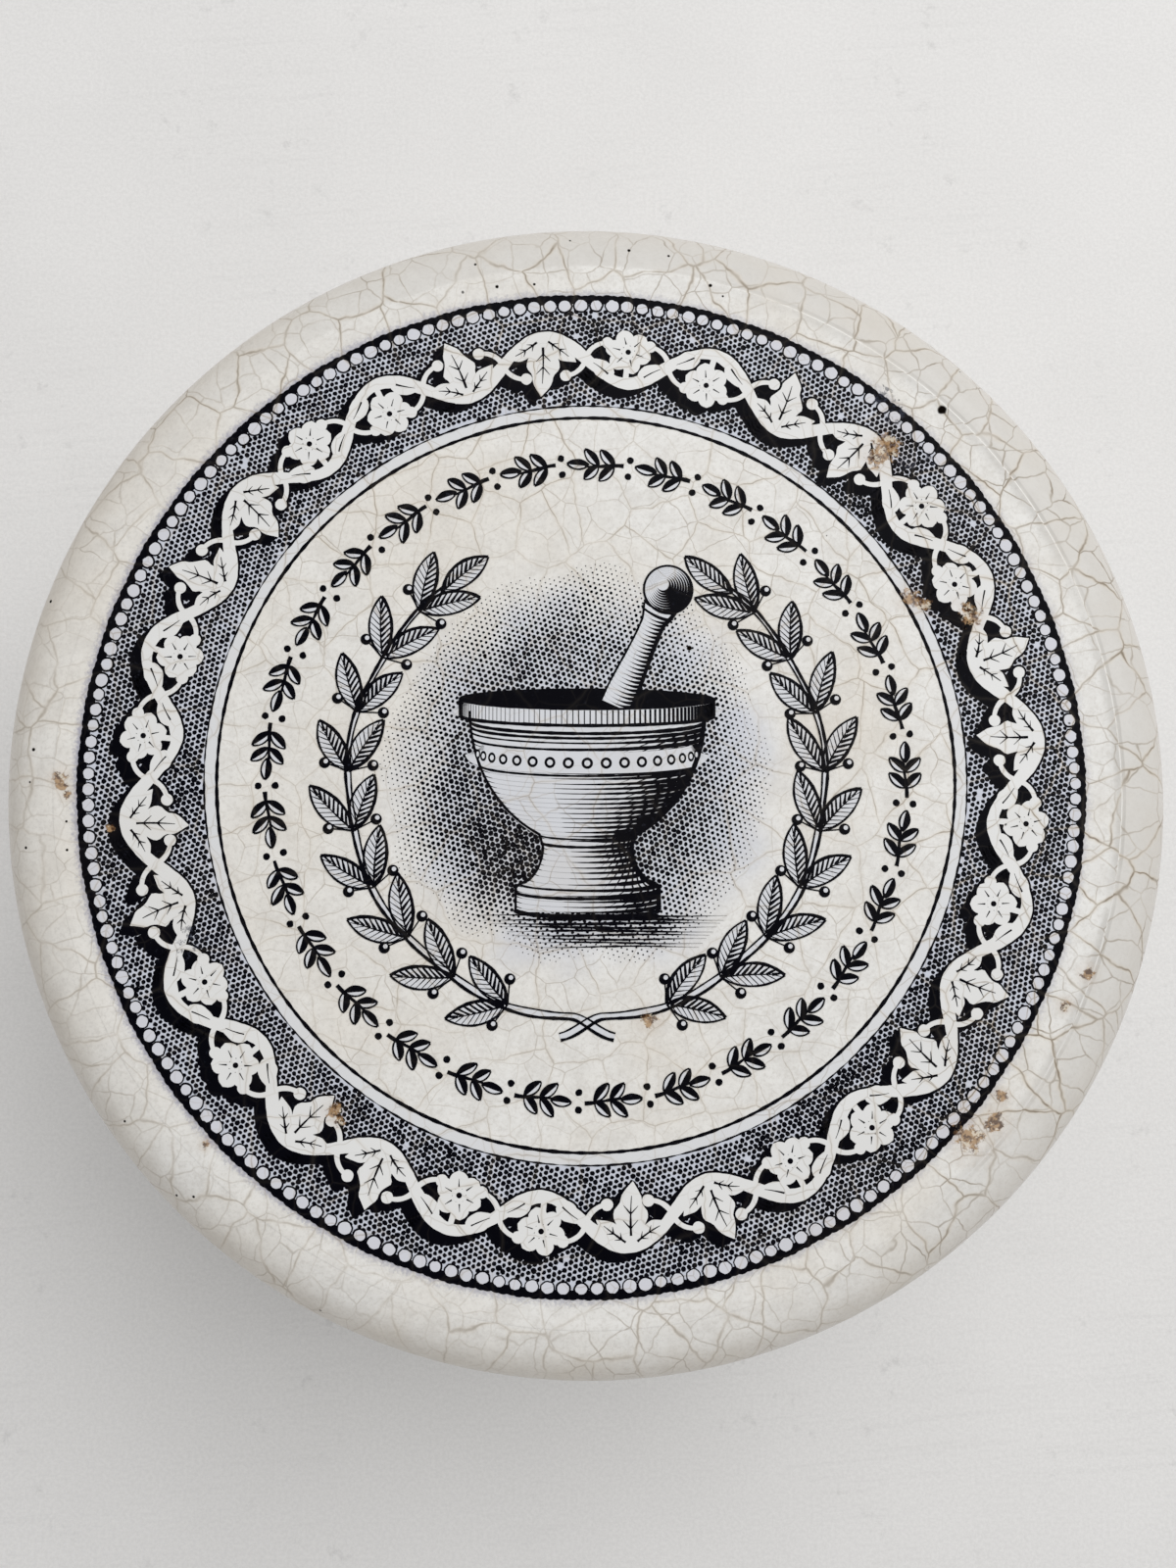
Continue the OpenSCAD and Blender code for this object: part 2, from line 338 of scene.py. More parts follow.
# A node group with a Vector and other named inputs. "make" takes them and gives the group's outputs by name.
def newGroup(name, make, **starts):
    tree = bpy.data.node_groups.new(name, "ShaderNodeTree")
    for label, start in {"Vector": (0.0, 0.0, 0.0), **starts}.items():
        kind = "NodeSocketVector" if isinstance(start, tuple) else "NodeSocketFloat"
        tree.interface.new_socket(name=label, in_out="INPUT", socket_type=kind).default_value = start
    outs = make(tree.nodes.new("NodeGroupInput").outputs)
    for label in outs:
        tree.interface.new_socket(name=label, in_out="OUTPUT", socket_type="NodeSocketFloat")
    ends = tree.nodes.new("NodeGroupOutput").inputs
    for label, value in outs.items():
        setSocket(ends[label], value)
    return tree


def useGroup(group, **inputs):
    return addNode("ShaderNodeGroup", inputs, node_tree=group).outputs


# A colour as a screen shows it, 0 to 255, in the linear values that a shader takes
def screen(r, g, b):
    c = np.array([r, g, b]) / 255
    return tuple(float(v) for v in np.where(c <= 0.04045, c / 12.92, ((c + 0.055) / 1.055) ** 2.4))


# Effects that the glazes and inks share

# Voronoi cells of Cell mm
def cellsOf(ins, **settings):
    scale = calc("DIVIDE", 1.0, ins["Cell"])
    return addNode("ShaderNodeTexVoronoi", {"Vector": ins["Vector"], "Scale": scale}, **settings).outputs


# Hair cracks: the walls between Voronoi cells. Line is the crack, Halo the stain along it, and Fade the strength
# of both.
def crazing(ins):
    gap = times(cellsOf(ins, feature="DISTANCE_TO_EDGE", voronoi_dimensions="2D")["Distance"], ins["Cell"])
    return {"Line": times(ramp(gap, 0.0, ins["Width"], 1.0, 0.0), ins["Fade"]),
            "Halo": times(ramp(gap, 0.0, ins["Stain"], 1.0, 0.0), ins["Fade"])}


# Pinholes: in a share of Voronoi cells, the disc within Size mm of the cell's own point
def pinholes(ins):
    cells = cellsOf(ins)
    pick = addNode("ShaderNodeSeparateColor", {0: cells["Color"]}).outputs
    size = times(ins["Size"], plus(pick[1], 0.4))
    disc = ramp(times(cells["Distance"], ins["Cell"]), times(size, 0.5), size, 1.0, 0.0)
    return {"Mask": times(disc, calc("LESS_THAN", pick[0], ins["Share"]))}


# One spot of dirt at a place: Mask is the spot and Halo the stain around it. The noise Torn frays its edge.
def dirtSpot(ins):
    far = vectorCalc("DISTANCE", ins["Vector"], ins["Place"])
    far = plus(calc("DIVIDE", far, ins["Size"]), ins["Torn"])
    return {"Mask": ramp(far, 0.62, 1.0, 1.0, 0.0), "Halo": ramp(far, 0.6, 2.6, 1.0, 0.0)}


# The glaze's own surface as a height in mm: slow waves, ripples and fine orange peel, less the pits
def glazeRelief(ins):
    kinds = ((0.14, 1.0, 0.07), (0.8, 2.0, 0.010), (3.2, 1.0, 0.0014))
    waves = [times(noiseAt(ins["Vector"], scale, detail), high) for scale, detail, high in kinds]
    return {"Height": minus(plus(*waves), times(ins["Pit"], 0.02))}


crazingGroup = newGroup("crazing", crazing, Cell=3.0, Width=0.05, Stain=0.3, Fade=1.0)
pinholeGroup = newGroup("pinholes", pinholes, Cell=2.0, Size=0.08, Share=0.1)
spotGroup = newGroup("dirtSpot", dirtSpot, Place=(0.0, 0.0, 0.0), Size=1.0, Torn=0.0)
reliefGroup = newGroup("glazeRelief", glazeRelief, Pit=0.0)
print("shared node groups made")

# Colours as a screen shows them
tones = {name: screen(*color) for name, color in {
    "cream": (229, 228, 225),
    "warmCream": (226, 223, 217),
    "shadeCream": (198, 194, 188),
    # Painted shade for the lid's shoulder
    "paintedRimShade": (202, 199, 194),
    # A painted highlight for the step's edge, then painted shade for its crease
    "crest": (240, 239, 236),
    "hollow": (178, 175, 170),
    # A brown stain for the lid's edge, also used there as painted shade
    "edgeStainAndShade": (180, 165, 144),
    "reserved": (223, 223, 222),
    "tint": (197, 201, 212),
    "gap": (214, 215, 217),
    "bead": (207, 208, 215),
    "bleed": (150, 150, 166),
    "leafTint": (210, 212, 217),
    "ink": (4, 4, 10),
    "inkWorn": (54, 57, 70),
    "crack": (133, 121, 105),
    "stain": (205, 192, 172),
    "ochre": (170, 138, 102),
    "chalk": (222, 212, 194),
    "rust": (80, 54, 36),
    "speck": (16, 12, 9),
    "biscuit": (214, 205, 188),
}.items()}
# Places on the lid in mm, then the size in mm
rustSpots = [
    (21.4, 24.4, 1.05), (20.6, 23.5, 0.8), (22.9, 13.3, 0.75), (23.8, 12.9, 0.55), (27.1, 12.0, 0.9),
    (26.2, -24.7, 1.05), (27.9, -23.7, 0.75), (28.5, -21.9, 0.45), (-17.7, -22.8, 0.6), (-17.3, -23.4, 0.4),
    (-26.4, -25.0, 0.32), (34.8, -13.4, 0.5), (33.1, -15.6, 0.4), (4.0, -16.6, 0.55), (-33.5, -3.3, 0.3),
    (-37.2, 0.2, 0.5), (-37.0, -0.3, 0.4), (-36.6, -0.9, 0.35),
]
darkSpecks = [
    (25.4, 27.1, 0.40), (2.8, 39.1, 0.15), (5.7, 38.7, 0.11), (-6.8, 36.1, 0.16), (-4.1, 36.3, 0.12),
    (8.7, 36.3, 0.16), (9.6, 35.5, 0.1), (-1.5, 40.0, 0.1), (-8.4, 37.9, 0.12), (-39.2, 2.3, 0.16),
    (-39.4, -0.0, 0.09), (-39.6, -4.6, 0.13), (-36.5, -4.8, 0.12), (-36.6, -2.8, 0.1), (-38.7, 13.1, 0.15),
    (-32.2, -23.5, 0.12), (-27.3, -28.6, 0.12), (-28.6, -28.6, 0.1), (-7.5, 9.0, 0.18), (7.0, 9.6, 0.22),
    (-24.8, 24.1, 0.13),
]
inkSmears = [
    (22.0, 26.8, 1.1), (21.1, 28.1, 0.8), (22.8, 23.3, 0.8), (24.5, 23.5, 0.5), (-27.8, -11.2, 1.1),
]
# The cell and stain of the wide and the fine cracks, their widths in the middle and at the rim, and the shift
# of each pattern, all in mm, as are the bends and curls that noise gives them
crackLook = {
    "kinds": ((3.8, 0.26, (0.075, 0.115), (0, 0, 0)), (2.1, 0.13, (0.058, 0.080), (31, 7, 3))),
    "middle": 33.6,              # the radii between which the cracks widen
    "rim": 38.0,
    "bends": 1.25,
    "curls": 0.36,
    "toRight": (0.8, 1.62),      # how strong they are from the left to the right, and from below to above
    "toTop": (0.8, 1.25),
    "drawnOut": 8.0,             # over this length of the shoulder they are twice as long
    "footRadius": 40.9,
    "footHeight": 5.0,
    "flatInside": {"lid": 37.6, "pot": 33.6},
}
pitLook = {"cell": 2.4, "size": 0.10, "share": (0.16, 0.36)}


# Where a point of a shell would lie if its wall were folded out flat round the top. Over the shoulder the
# distance counts half, and under the rounded foot it goes on inwards. Flat faces further in stay in place.
def foldedOut(flat, radius, z, body):
    look = crackLook
    drop = minus(lidTop, z)
    beyond = plus(drop, largest(minus(radius, stepRadius), 0.0))
    drop = minus(drop, times(calc("MINIMUM", beyond, look["drawnOut"]), 0.5))
    inwards = largest(minus(look["footRadius"], radius), 0.0)
    drop = plus(drop, times(inwards, calc("LESS_THAN", z, look["footHeight"]), 2.0))
    drop = times(drop, calc("GREATER_THAN", radius, look["flatInside"][body]))
    return scaled(flat, plus(1.0, calc("DIVIDE", drop, radius)))


# What the glazes share, from the place on the object: cracks, dirt, clouds and relief
def surfacePattern(tree, body, shell):
    look = crackLook
    vector = placeMm(tree)
    x, y, z = addNode("ShaderNodeSeparateXYZ", {0: vector}).outputs
    flat = vectorCalc("MULTIPLY", vector, (1, 1, 0))
    radius = vectorCalc("LENGTH", flat)
    bends = swayVector(vector, look["bends"], 0.32, 3.0)
    spread = vectorCalc("ADD", foldedOut(flat, radius, z, body) if shell else flat, bends)
    spread = vectorCalc("ADD", spread, swayVector(vector, look["curls"], 0.75, 1.0))
    fade = times(patches(vector, (0.13, 3.0, 0.65), 0.36, 0.62, 0.45, 1.0),
                 largest(ramp(x, 14, 29, *look["toRight"]), ramp(y, 8, 34, *look["toTop"])))
    wide, fine = (useGroup(crazingGroup, Vector=vectorCalc("ADD", spread, shift), Cell=cell, Stain=stain,
                           Width=ramp(radius, look["middle"], look["rim"], *width), Fade=fade)
                  for cell, stain, width, shift in look["kinds"])
    broken = patches(vector, (0.5, 2.0, 0.6), 0.36, 0.56, 0.50, 1.0)
    finer = patches(vector, (0.07, 2.0, 0.5, (70, 20, 0)), 0.40, 0.60, 0.45, 0.95)
    pits = useGroup(pinholeGroup, Vector=vectorCalc("ADD", vector, bends), Cell=pitLook["cell"],
                    Size=pitLook["size"], Share=ramp(radius, 34, 36, *pitLook["share"]))["Mask"]
    pattern = SimpleNamespace(
        vector=vector, flat=flat, x=x, z=z, radius=radius, pits=pits,
        line=times(largest(wide["Line"], times(fine["Line"], finer)), broken),
        halo=largest(wide["Halo"], times(fine["Halo"], 0.4)),
        clouds=noiseAt(vector, 0.085, 4.0, 0.6, (5, 60, 9)),
        height=useGroup(reliefGroup, Vector=vector, Pit=pits)["Height"])
    if body == "lid":
        torn = minus(noiseAt(vector, 1.9, 4.0, 0.68), 0.5)
        # Dirt lies on the top and the shoulder, and not inside
        above = largest(ramp(z, lidTop - 1.2, lidTop - 0.9), ramp(radius, 38.9, 39.1))
        above = times(above, ramp(z, lidTop - 6, lidTop - 4))
        pattern.rust, pattern.rustHalo = spotMask(flat, times(torn, 2.7), rustSpots, above)
        pattern.specks = spotMask(flat, times(torn, 0.7), darkSpecks, above)[0]
        smears = spotMask(flat, times(torn, 3.0), inkSmears, above)[0]
        pattern.smears = times(smears, patches(vector, (2.3, 3.0, 0.7), 0.48, 0.60))
    return pattern


# The largest of the masks of several spots, kept to where "above" is 1
def spotMask(flat, frayed, places, above):
    mask, halo = 0.0, 0.0
    for x, y, size in places:
        spot = useGroup(spotGroup, Vector=flat, Place=(x, y, 0), Size=size, Torn=frayed)
        mask = largest(mask, spot["Mask"])
        halo = largest(halo, spot["Halo"])
    return times(mask, above), times(halo, above)


# How strongly each kind of age and dirt shows
dirtLook = {"clouds": 0.17, "halo": 0.30, "line": 0.66, "smears": 0.7, "rustHalo": 0.19, "rust": 0.88,
            "chalk": 0.8, "pits": 0.85}


# Clouds, cracks and dirt over a ground colour, under a glossy coat. "show" is how far the glaze's own stains
# show over the ground, and "gloss" the strength of its reflection.
def finishGlaze(pattern, color, show=1.0, gloss=0.22):
    look, vector = dirtLook, pattern.vector
    color = tinted(color, "stain", ramp(pattern.clouds, 0.50, 0.78, 0.0, look["clouds"] * show))
    color = tinted(color, "stain", pattern.halo, look["halo"] * show)
    color = tinted(color, "crack", pattern.line, look["line"] * show)
    roughness = ramp(pattern.clouds, 0.3, 0.75, 0.22, 0.34)
    if hasattr(pattern, "rust"):
        color = tinted(color, "inkWorn", pattern.smears, look["smears"])
        color = tinted(color, "ochre", pattern.rustHalo, look["rustHalo"] * show)
        crust = tinted(tones["rust"], "ochre", patches(vector, (2.4, 2.0, 0.7), 0.40, 0.60))
        crust = tinted(crust, "chalk", patches(vector, (1.7, 3.0, 0.7, (8, 3, 0)), 0.54, 0.61), look["chalk"])
        color = blend(times(pattern.rust, look["rust"]), color, crust)
        color = tinted(color, "speck", pattern.specks)
        gloss = times(gloss, minus(1.0, pattern.specks))
        roughness = largest(roughness, times(pattern.rust, 0.6))
    color = tinted(color, "speck", pattern.pits, look["pits"])
    shader = finishMaterial(color, roughness, gloss, pattern.height, 1.0)
    shader.inputs["IOR"].default_value = 1.5


# The shader and output of a material, with a bump from a height in mm
def finishMaterial(color, roughness, gloss, height, strength):
    bump = addNode("ShaderNodeBump", {"Height": height, "Distance": mm, "Strength": strength})
    shader = addNode("ShaderNodeBsdfPrincipled", {"Base Color": color, "Roughness": roughness,
                     "Normal": bump.outputs[0], "Specular IOR Level": gloss})
    addNode("ShaderNodeOutputMaterial", {"Surface": shader.outputs[0]})
    return shader


def newMaterial(name):
    material = bpy.data.materials.new(name)
    material.use_nodes = True
    material.node_tree.nodes.clear()
    return material, material.node_tree


# Cream that warms towards the left, as the glaze has yellowed, with a fine mottle
def creamGround(pattern, mottled=0.52):
    aged = plus(pattern.clouds, times(pattern.x, -0.0035))
    color = tinted(tones["cream"], "warmCream", ramp(aged, 0.35, 0.72))
    color = tinted(color, "shadeCream", patches(pattern.vector, (0.55, 7.0, 0.80), 0.36, 0.72, 0.0, mottled))
    return tinted(color, "shadeCream", patches(pattern.vector, (3.6, 2.0, 0.7), 0.46, 0.68, 0.0, 0.40))


# Bare clay, which has no glaze to craze
def bareClay(pattern, color, bare):
    for part in ("line", "halo", "pits"):
        setattr(pattern, part, times(getattr(pattern, part), minus(1.0, bare)))
    return tinted(color, "biscuit", bare)


# The lid's glaze takes the cold tint that bled from the ink, by distance from the print's two centres
def makeLidGlaze():
    material, tree = newMaterial("lidGlaze")
    pattern = surfacePattern(tree, "lid", True)
    vector, flat, z, radius = pattern.vector, pattern.flat, pattern.z, pattern.radius
    color = creamGround(pattern)
    top = ramp(z, lidTop - 0.35, lidTop - 0.2)
    fromBorder = vectorCalc("DISTANCE", flat, (*printSizes["borderCentre"], 0))
    fromMiddle = vectorCalc("DISTANCE", flat, (*printSizes["middleCentre"], 0))
    outside = minus(plus(fromBorder, sway(vector, 1.1, 4.5, 2.0, 0.6)), borderRadius)
    inside = ramp(fromBorder, borderRadius - 0.9, borderRadius - 0.6)
    bled = times(ramp(outside, -0.1, 0.6, 0.85, 0.0), inside, ramp(pattern.x, -38, 30, 1.0, 0.45))
    color = tinted(color, "bleed", bled, top)
    printed = times(ramp(fromMiddle, ringRadius - 0.1, ringRadius + 0.1), top,
                    ramp(fromBorder, borderRadius - 0.3, borderRadius, 1.0, 0.0))
    color = tinted(color, "gap", printed)
    color = tinted(color, "tint", printed, ramp(fromMiddle, bandInner - 0.1, bandInner + 0.1))
    # Painted shade dulls the shoulder, most towards the upper right, where it evens out the lamp's light
    side = vectorCalc("DOT_PRODUCT", flat, (0.8, 0.6, 0))
    paintedShoulderShade = times(ramp(side, -30, 38, 0.0, 0.75), ramp(radius, stepRadius - 0.2, stepRadius + 0.1, 0.06, 1.0))
    color = tinted(color, "paintedRimShade", paintedShoulderShade, ramp(fromBorder, borderRadius - 0.6, borderRadius + 0.7))
    # Towards the edge a brown stain, strongest on the lower left: partly a real stain, partly painted shade on
    # the side away from the lamp
    edge = ramp(radius, stepRadius + 0.8, stepRadius + 4.0, 0.0, 0.34)
    color = tinted(color, "edgeStainAndShade", edge, ramp(side, -20, 38, 1.0, 0.4))
    # Towards the right, painted light on the step: a painted highlight along its edge beside painted shade in
    # the crease
    facing = vectorCalc("DOT_PRODUCT", flat, (0.98, 0.17, 0))
    paintedStepLight = times(ramp(facing, 8, 32), ramp(z, lidTop - 0.8, lidTop - 0.6),
                  patches(flat, (0.22, 3.0, 0.6), 0.36, 0.6, 0.4, 1.0))
    out = minus(plus(radius, sway(vector, 0.12, 0.5)), stepRadius)
    color = tinted(color, "hollow", paintedStepLight, ramp(out, -0.9, -0.3, 0.0, 0.6), ramp(out, 0.12, 0.22, 1.0, 0.0))
    crest = times(ramp(out, -0.28, -0.18, 0.0, 0.8), ramp(out, -0.14, -0.04, 1.0, 0.0))
    color = tinted(color, "crest", paintedStepLight, crest)
    # The soft cold ground behind the picture
    sky = ramp(plus(fromMiddle, sway(vector, 6.0, 0.22)), 9.5, 15.0, 0.85, 0.0)
    color = tinted(color, "tint", sky, top)
    color = bareClay(pattern, color, ramp(z, ledgeZ + 0.25, ledgeZ + 0.45, 1.0, 0.0))
    finishGlaze(pattern, color)
    return material


# The pot's glaze leaves a bare ledge under the lid and a bare foot ring
def makePotGlaze():
    material, tree = newMaterial("potGlaze")
    pattern = surfacePattern(tree, "pot", True)
    foot = ramp(plus(pattern.z, sway(pattern.vector, 0.5, 0.7, 3.0, 0.6)), 0.25, 0.45, 1.0, 0.0)
    ledge = calc("ABSOLUTE", minus(pattern.z, ledgeZ), 0.0)
    ledge = times(ramp(ledge, 0.12, 0.3, 1.0, 0.0), ramp(pattern.radius, 37.6, 37.9))
    color = bareClay(pattern, creamGround(pattern, mottled=0.30), largest(foot, ledge))
    finishGlaze(pattern, color, gloss=0.42)
    return material


# The same glaze over one ground, for what the print reserves in white or tints
def makeGroundGlaze(name, tone):
    material, tree = newMaterial(name)
    pattern = surfacePattern(tree, "lid", False)
    cloudy = ramp(pattern.clouds, 0.35, 0.7, 0.0, 0.6)
    finishGlaze(pattern, blend(cloudy, tones[tone], tuple(0.93 * c for c in tones[tone])))
    return material


# Blue-black ink under the glaze, greyer in small flecks where the transfer took badly
def makeInk():
    material, tree = newMaterial("printInk")
    pattern = surfacePattern(tree, "lid", False)
    fleck = patches(pattern.vector, (2.6, 4.0, 0.7), 0.58, 0.76)
    color = tinted(tones["ink"], "inkWorn", fleck, ramp(pattern.clouds, 0.35, 0.75, 0.1, 0.6))
    finishGlaze(pattern, color, show=0.05, gloss=0.03)
    return material


lidGlaze = makeLidGlaze()
potGlaze = makePotGlaze()
reservedGlaze, tintedGlaze, beadGlaze = (makeGroundGlaze(name, tone) for name, tone in (
    ("reservedGlaze", "reserved"), ("tintedGlaze", "leafTint"), ("beadGlaze", "bead")))
printInk = makeInk()
print("materials made")


# Turned shells

# Points from start to end, crowded towards both ends
def profileLine(start, end, points):
    t = (1 - np.cos(np.linspace(0, math.pi, points))) / 2
    return np.array(start)[None] + (np.array(end) - np.array(start))[None] * t[:, None]


# Points of a quarter circle or ellipse, or less of one
def arc(centre, radii, fromDeg, toDeg, points):
    return np.array(centre) + np.array(radii) * polar(np.radians(np.linspace(fromDeg, toDeg, points)), 1.0)


# A closed shell: a profile (r, z) that starts and ends on the axis is carried round it, and wobble moves the
# points a little. Each step of the profile is a line of so many points, then the points of a bend.
def turnedPiece(name, start, profile, segments, wobble, material, body):
    path = [np.array([start])]
    for count, bend in profile:
        path += [profileLine(path[-1][-1], bend[0], count), np.array(bend)]
    points = np.concatenate(path)
    points = points[np.concatenate([[True], np.linalg.norm(np.diff(points, axis=0), axis=1) > 1e-4])]
    rings = points[1:-1]
    a = angles(segments)
    x = rings[:, :1] * np.cos(a)
    y = rings[:, :1] * np.sin(a)
    z = np.repeat(rings[:, 1:], segments, 1)
    poles = np.array([[0, 0, points[0, 1]], [0, 0, points[-1, 1]]])
    verts = wobble(np.concatenate([np.stack([x, y, z], 2).reshape(-1, 3), poles]))
    at = np.arange(len(rings) * segments).reshape(len(rings), segments)
    right = np.roll(at, -1, 1)
    walls = np.stack([at[:-1], at[1:], right[1:], right[:-1]], 2).reshape(-1, 4)
    startFan = np.stack([np.full(segments, len(verts) - 2), at[0], right[0]], 1)
    endFan = np.stack([np.full(segments, len(verts) - 1), right[-1], at[-1]], 1)
    return buildPiece(name, (verts, [walls, startFan, endFan]), material, body, flat=False)


# Out of round by a few hundredths of a millimetre, always inwards: two waves around the axis
def outOfRound(p, phase):
    a = np.arctan2(p[:, 1], p[:, 0])
    out = p.copy()
    out[:, :2] *= (1 - 0.0012 + 0.0008 * np.cos(2 * a + phase) + 0.0004 * np.cos(3 * a + 2.1))[:, None]
    return out


# Flat top with a low lip, a step and crease, a quarter-ellipse shoulder, the skirt, and the hollow inside
def makeLid():
    s = lidSizes
    outer, edge, corner = s["radius"], s["edgeRadius"], s["cornerRadius"]
    inner, flat, low = outer - s["skirtThickness"], stepRadius - s["creaseWidth"], ledgeZ + edge
    under, stepZ, face = lidTop - s["topThickness"], lidTop - s["stepHeight"], lidTop - s["lipHeight"]
    rise = np.linspace(0, 1, 12)
    lip = np.stack([flat - s["lipWidth"] + s["lipWidth"] * rise * 0.86,
                    face + s["lipHeight"] * np.sin(rise * math.pi / 2) ** 2], 1)
    profile = [
        (70, lip),
        (0, arc((flat - 0.126, lidTop - 0.16), (0.126, 0.16), 90, 0, 6)),
        (0, arc((flat + 0.11, stepZ + 0.06), (0.11, 0.08), 180, 270, 6)),
        (0, arc((stepRadius, stepZ - s["shoulderDrop"]), (s["shoulderWidth"], s["shoulderDrop"]), 88, 0, 30)),
        (12, arc((outer - edge, low), edge, 0, -90, 8)),
        (6, arc((inner + edge, low), edge, 270, 180, 8)),
        (10, arc((inner - corner, under - corner), corner, 0, 90, 10)),
        (30, [(0, under)]),
    ]

    def wobble(p):
        out = outOfRound(p, 0.6)
        # Glaze has run over the step, and fills it least towards the right
        r, around = np.hypot(p[:, 0], p[:, 1]), np.arctan2(p[:, 1], p[:, 0])
        filled = face - s["runDepth"] * np.clip((r - stepRadius + 0.8) / s["runWidth"], 0, 1) ** 2
        most, least = s["runShare"]
        share = most - (most - least) * smoothStep(0.25, 0.95, np.cos(around - s["runThin"]))
        share = share * (p[:, 2] > lidTop - 0.6) * (r < stepRadius + 1.0) * (r > stepRadius - 1.3)
        out[:, 2] += share * (filled - p[:, 2])
        out[:, 2] -= smoothStep(lidTop - 3, lidTop - 0.3, p[:, 2]) * swell(p[:, 0], p[:, 1])
        return out

    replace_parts(turnedPiece("lid_shell", (0, face), profile, 360, wobble, lidGlaze, "lid"), "lid")


potSizes = {
    "wallRadius": 41.3,
    "neckRadius": 38.2,
    "boreRadius": 35.4,
    "rimZ": 41.5,
    "floorZ": 6.0,
    "floorCorner": 6.0,
    "rimEdge": 1.0,
    "ledgeEdge": 0.6,
    "baseEdge": 3.0,
    "footHeight": 1.4,
    "footRadius": 37.5,
    "footWidth": 6.0,
    "footEdge": 0.4,
    "hollowEdge": 0.5,
    "crease": 0.4,           # the small fillets where the foot meets the wall and the neck meets the ledge
}


# Hollow base, foot ring, straight wall, ledge, neck with a rounded rim, bore and rounded floor
def makePot():
    s = potSizes
    wall, neck, bore, foot = s["wallRadius"], s["neckRadius"], s["boreRadius"], s["footRadius"]
    footIn, footZ, rimZ, floorZ = foot - s["footWidth"], s["footHeight"], s["rimZ"], s["floorZ"]
    edge, hollow, crease, base = s["footEdge"], s["hollowEdge"], s["crease"], s["baseEdge"]
    ledge, rim, corner = s["ledgeEdge"], s["rimEdge"], s["floorCorner"]
    profile = [
        (24, arc((footIn - hollow, footZ - hollow), hollow, 90, 0, 6)),
        (0, arc((footIn + edge, edge), edge, 180, 270, 6)),
        (10, arc((foot - edge, edge), edge, -90, 0, 6)),
        (0, arc((foot + crease, footZ - crease), crease, 180, 90, 6)),
        (0, arc((wall - base, footZ + base), base, -82, 0, 14)),
        (30, arc((wall - ledge, ledgeZ - ledge), ledge, 0, 90, 8)),
        (8, arc((neck + crease, ledgeZ + crease), crease, 270, 180, 6)),
        (14, arc((neck - rim, rimZ - rim), rim, 0, 90, 9)),
        (0, arc((bore + rim, rimZ - rim), rim, 90, 180, 9)),
        (26, arc((bore - corner, floorZ + corner), corner, 0, -90, 18)),
        (30, [(0, floorZ)]),
    ]

    def wobble(p):
        # The wall is drawn in a touch half-way up
        out = outOfRound(p, 1.9)
        out[:, :2] *= 1 - 0.0025 * np.sin(math.pi * np.clip(p[:, 2:] / ledgeZ, 0, 1))
        return out

    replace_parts(turnedPiece("pot_shell", (0, footZ), profile, 320, wobble, potGlaze, "pot"), "pot")


makeLid()
makePot()
print("lid and pot turned")


# The border, the band and the thin ring

borderLook = {"inside": 0.12, "ragged": 0.05, "beadAlong": 0.43, "beadAcross": 0.40, "beadUneven": 0.04,
              "backing": 0.11}


# A ragged dark ring with a row of slightly uneven pale beads on it
def makeBorder():
    look = borderLook
    a = angles(1800)
    inner = beadRadius + look["inside"]
    outer = borderRadius + look["ragged"] * ragged((a * inner)[None], 11, (1.1, 5.3, 11.9))[0]
    ring = ribbons(polar(a, (inner + outer) / 2, borderCentre)[None], (outer - inner) / 2, 0.024, closed=True)
    rng = np.random.default_rng(5)
    count = round(turn * beadRadius / printSizes["beadPitch"])
    place = (np.arange(count) + rng.normal(0, 0.03, count)) * turn / count
    beads = polar(place, beadRadius + rng.normal(0, 0.025, count), borderCentre)
    aim = angles(16) - place[:, None]
    size = 1 / np.sqrt((np.cos(aim) / look["beadAcross"]) ** 2 + (np.sin(aim) / look["beadAlong"]) ** 2)
    size = size * rng.uniform(0.88, 1.10, (count, 1)) * (1 + rng.normal(0, look["beadUneven"], (count, 16)))
    backing = discs(beads, size + look["backing"] * rng.uniform(0.7, 1.3, (count, 1)), 0.026)
    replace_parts(buildPiece("border_ink", joined([ring, backing]), printInk, "lid"), "print_border")
    buildPiece("border_beads", discs(beads, size, 0.036), beadGlaze, "lid")


bandLook = {"pitch": 0.392, "angle": 0.33, "dot": 0.166, "dotUneven": 0.10, "jitter": 0.011, "lost": 0.005,
            "sectors": 3, "edgeHalf": 0.055}


# Stipple over the whole band, in sectors, with its fine inner edge line
def makeBand():
    look = bandLook
    points = hexLattice(look["pitch"], look["angle"], bandOuter + 1.5, look["jitter"], 21)
    rng = np.random.default_rng(22)
    fromBorder = np.linalg.norm(points - borderCentre, axis=1)
    fromMiddle = np.linalg.norm(points - middleCentre, axis=1)
    kept = (fromBorder < bandOuter + 0.1) & (fromMiddle > bandInner + 0.12)
    points = points[kept & (rng.random(len(points)) > look["lost"])]
    x, y = points[:, 0], points[:, 1]
    heavy = 1 + 0.06 * np.sin(0.21 * x + 0.9) * np.sin(0.17 * y + 2.2) + 0.04 * np.sin(0.6 * x - 0.5 * y)
    radius = look["dot"] * heavy * (1 + rng.normal(0, look["dotUneven"], len(points)))
    sector = ((np.arctan2(y, x) / turn + 1) % 1 * look["sectors"]).astype(int)
    a = angles(1500)
    edge = polar(a, bandInner + 0.02 * np.sin(9 * a), middleCentre)[None]
    half = look["edgeHalf"] * (1 + 0.5 * ragged((a * bandInner)[None], 31, (0.9, 2.3, 6.1)))
    line = ribbons(edge, np.maximum(half, 0.012), 0.021, closed=True)
    for i in range(look["sectors"]):
        shapes = [stipple(points[sector == i], radius[sector == i], 0.02, 23 + i)]
        if i == 0:
            shapes.append(line)
        piece = buildPiece(f"band_stipple_{i + 1}", joined(shapes), printInk, "lid")
        if i == 0:
            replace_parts(piece, "print_band")


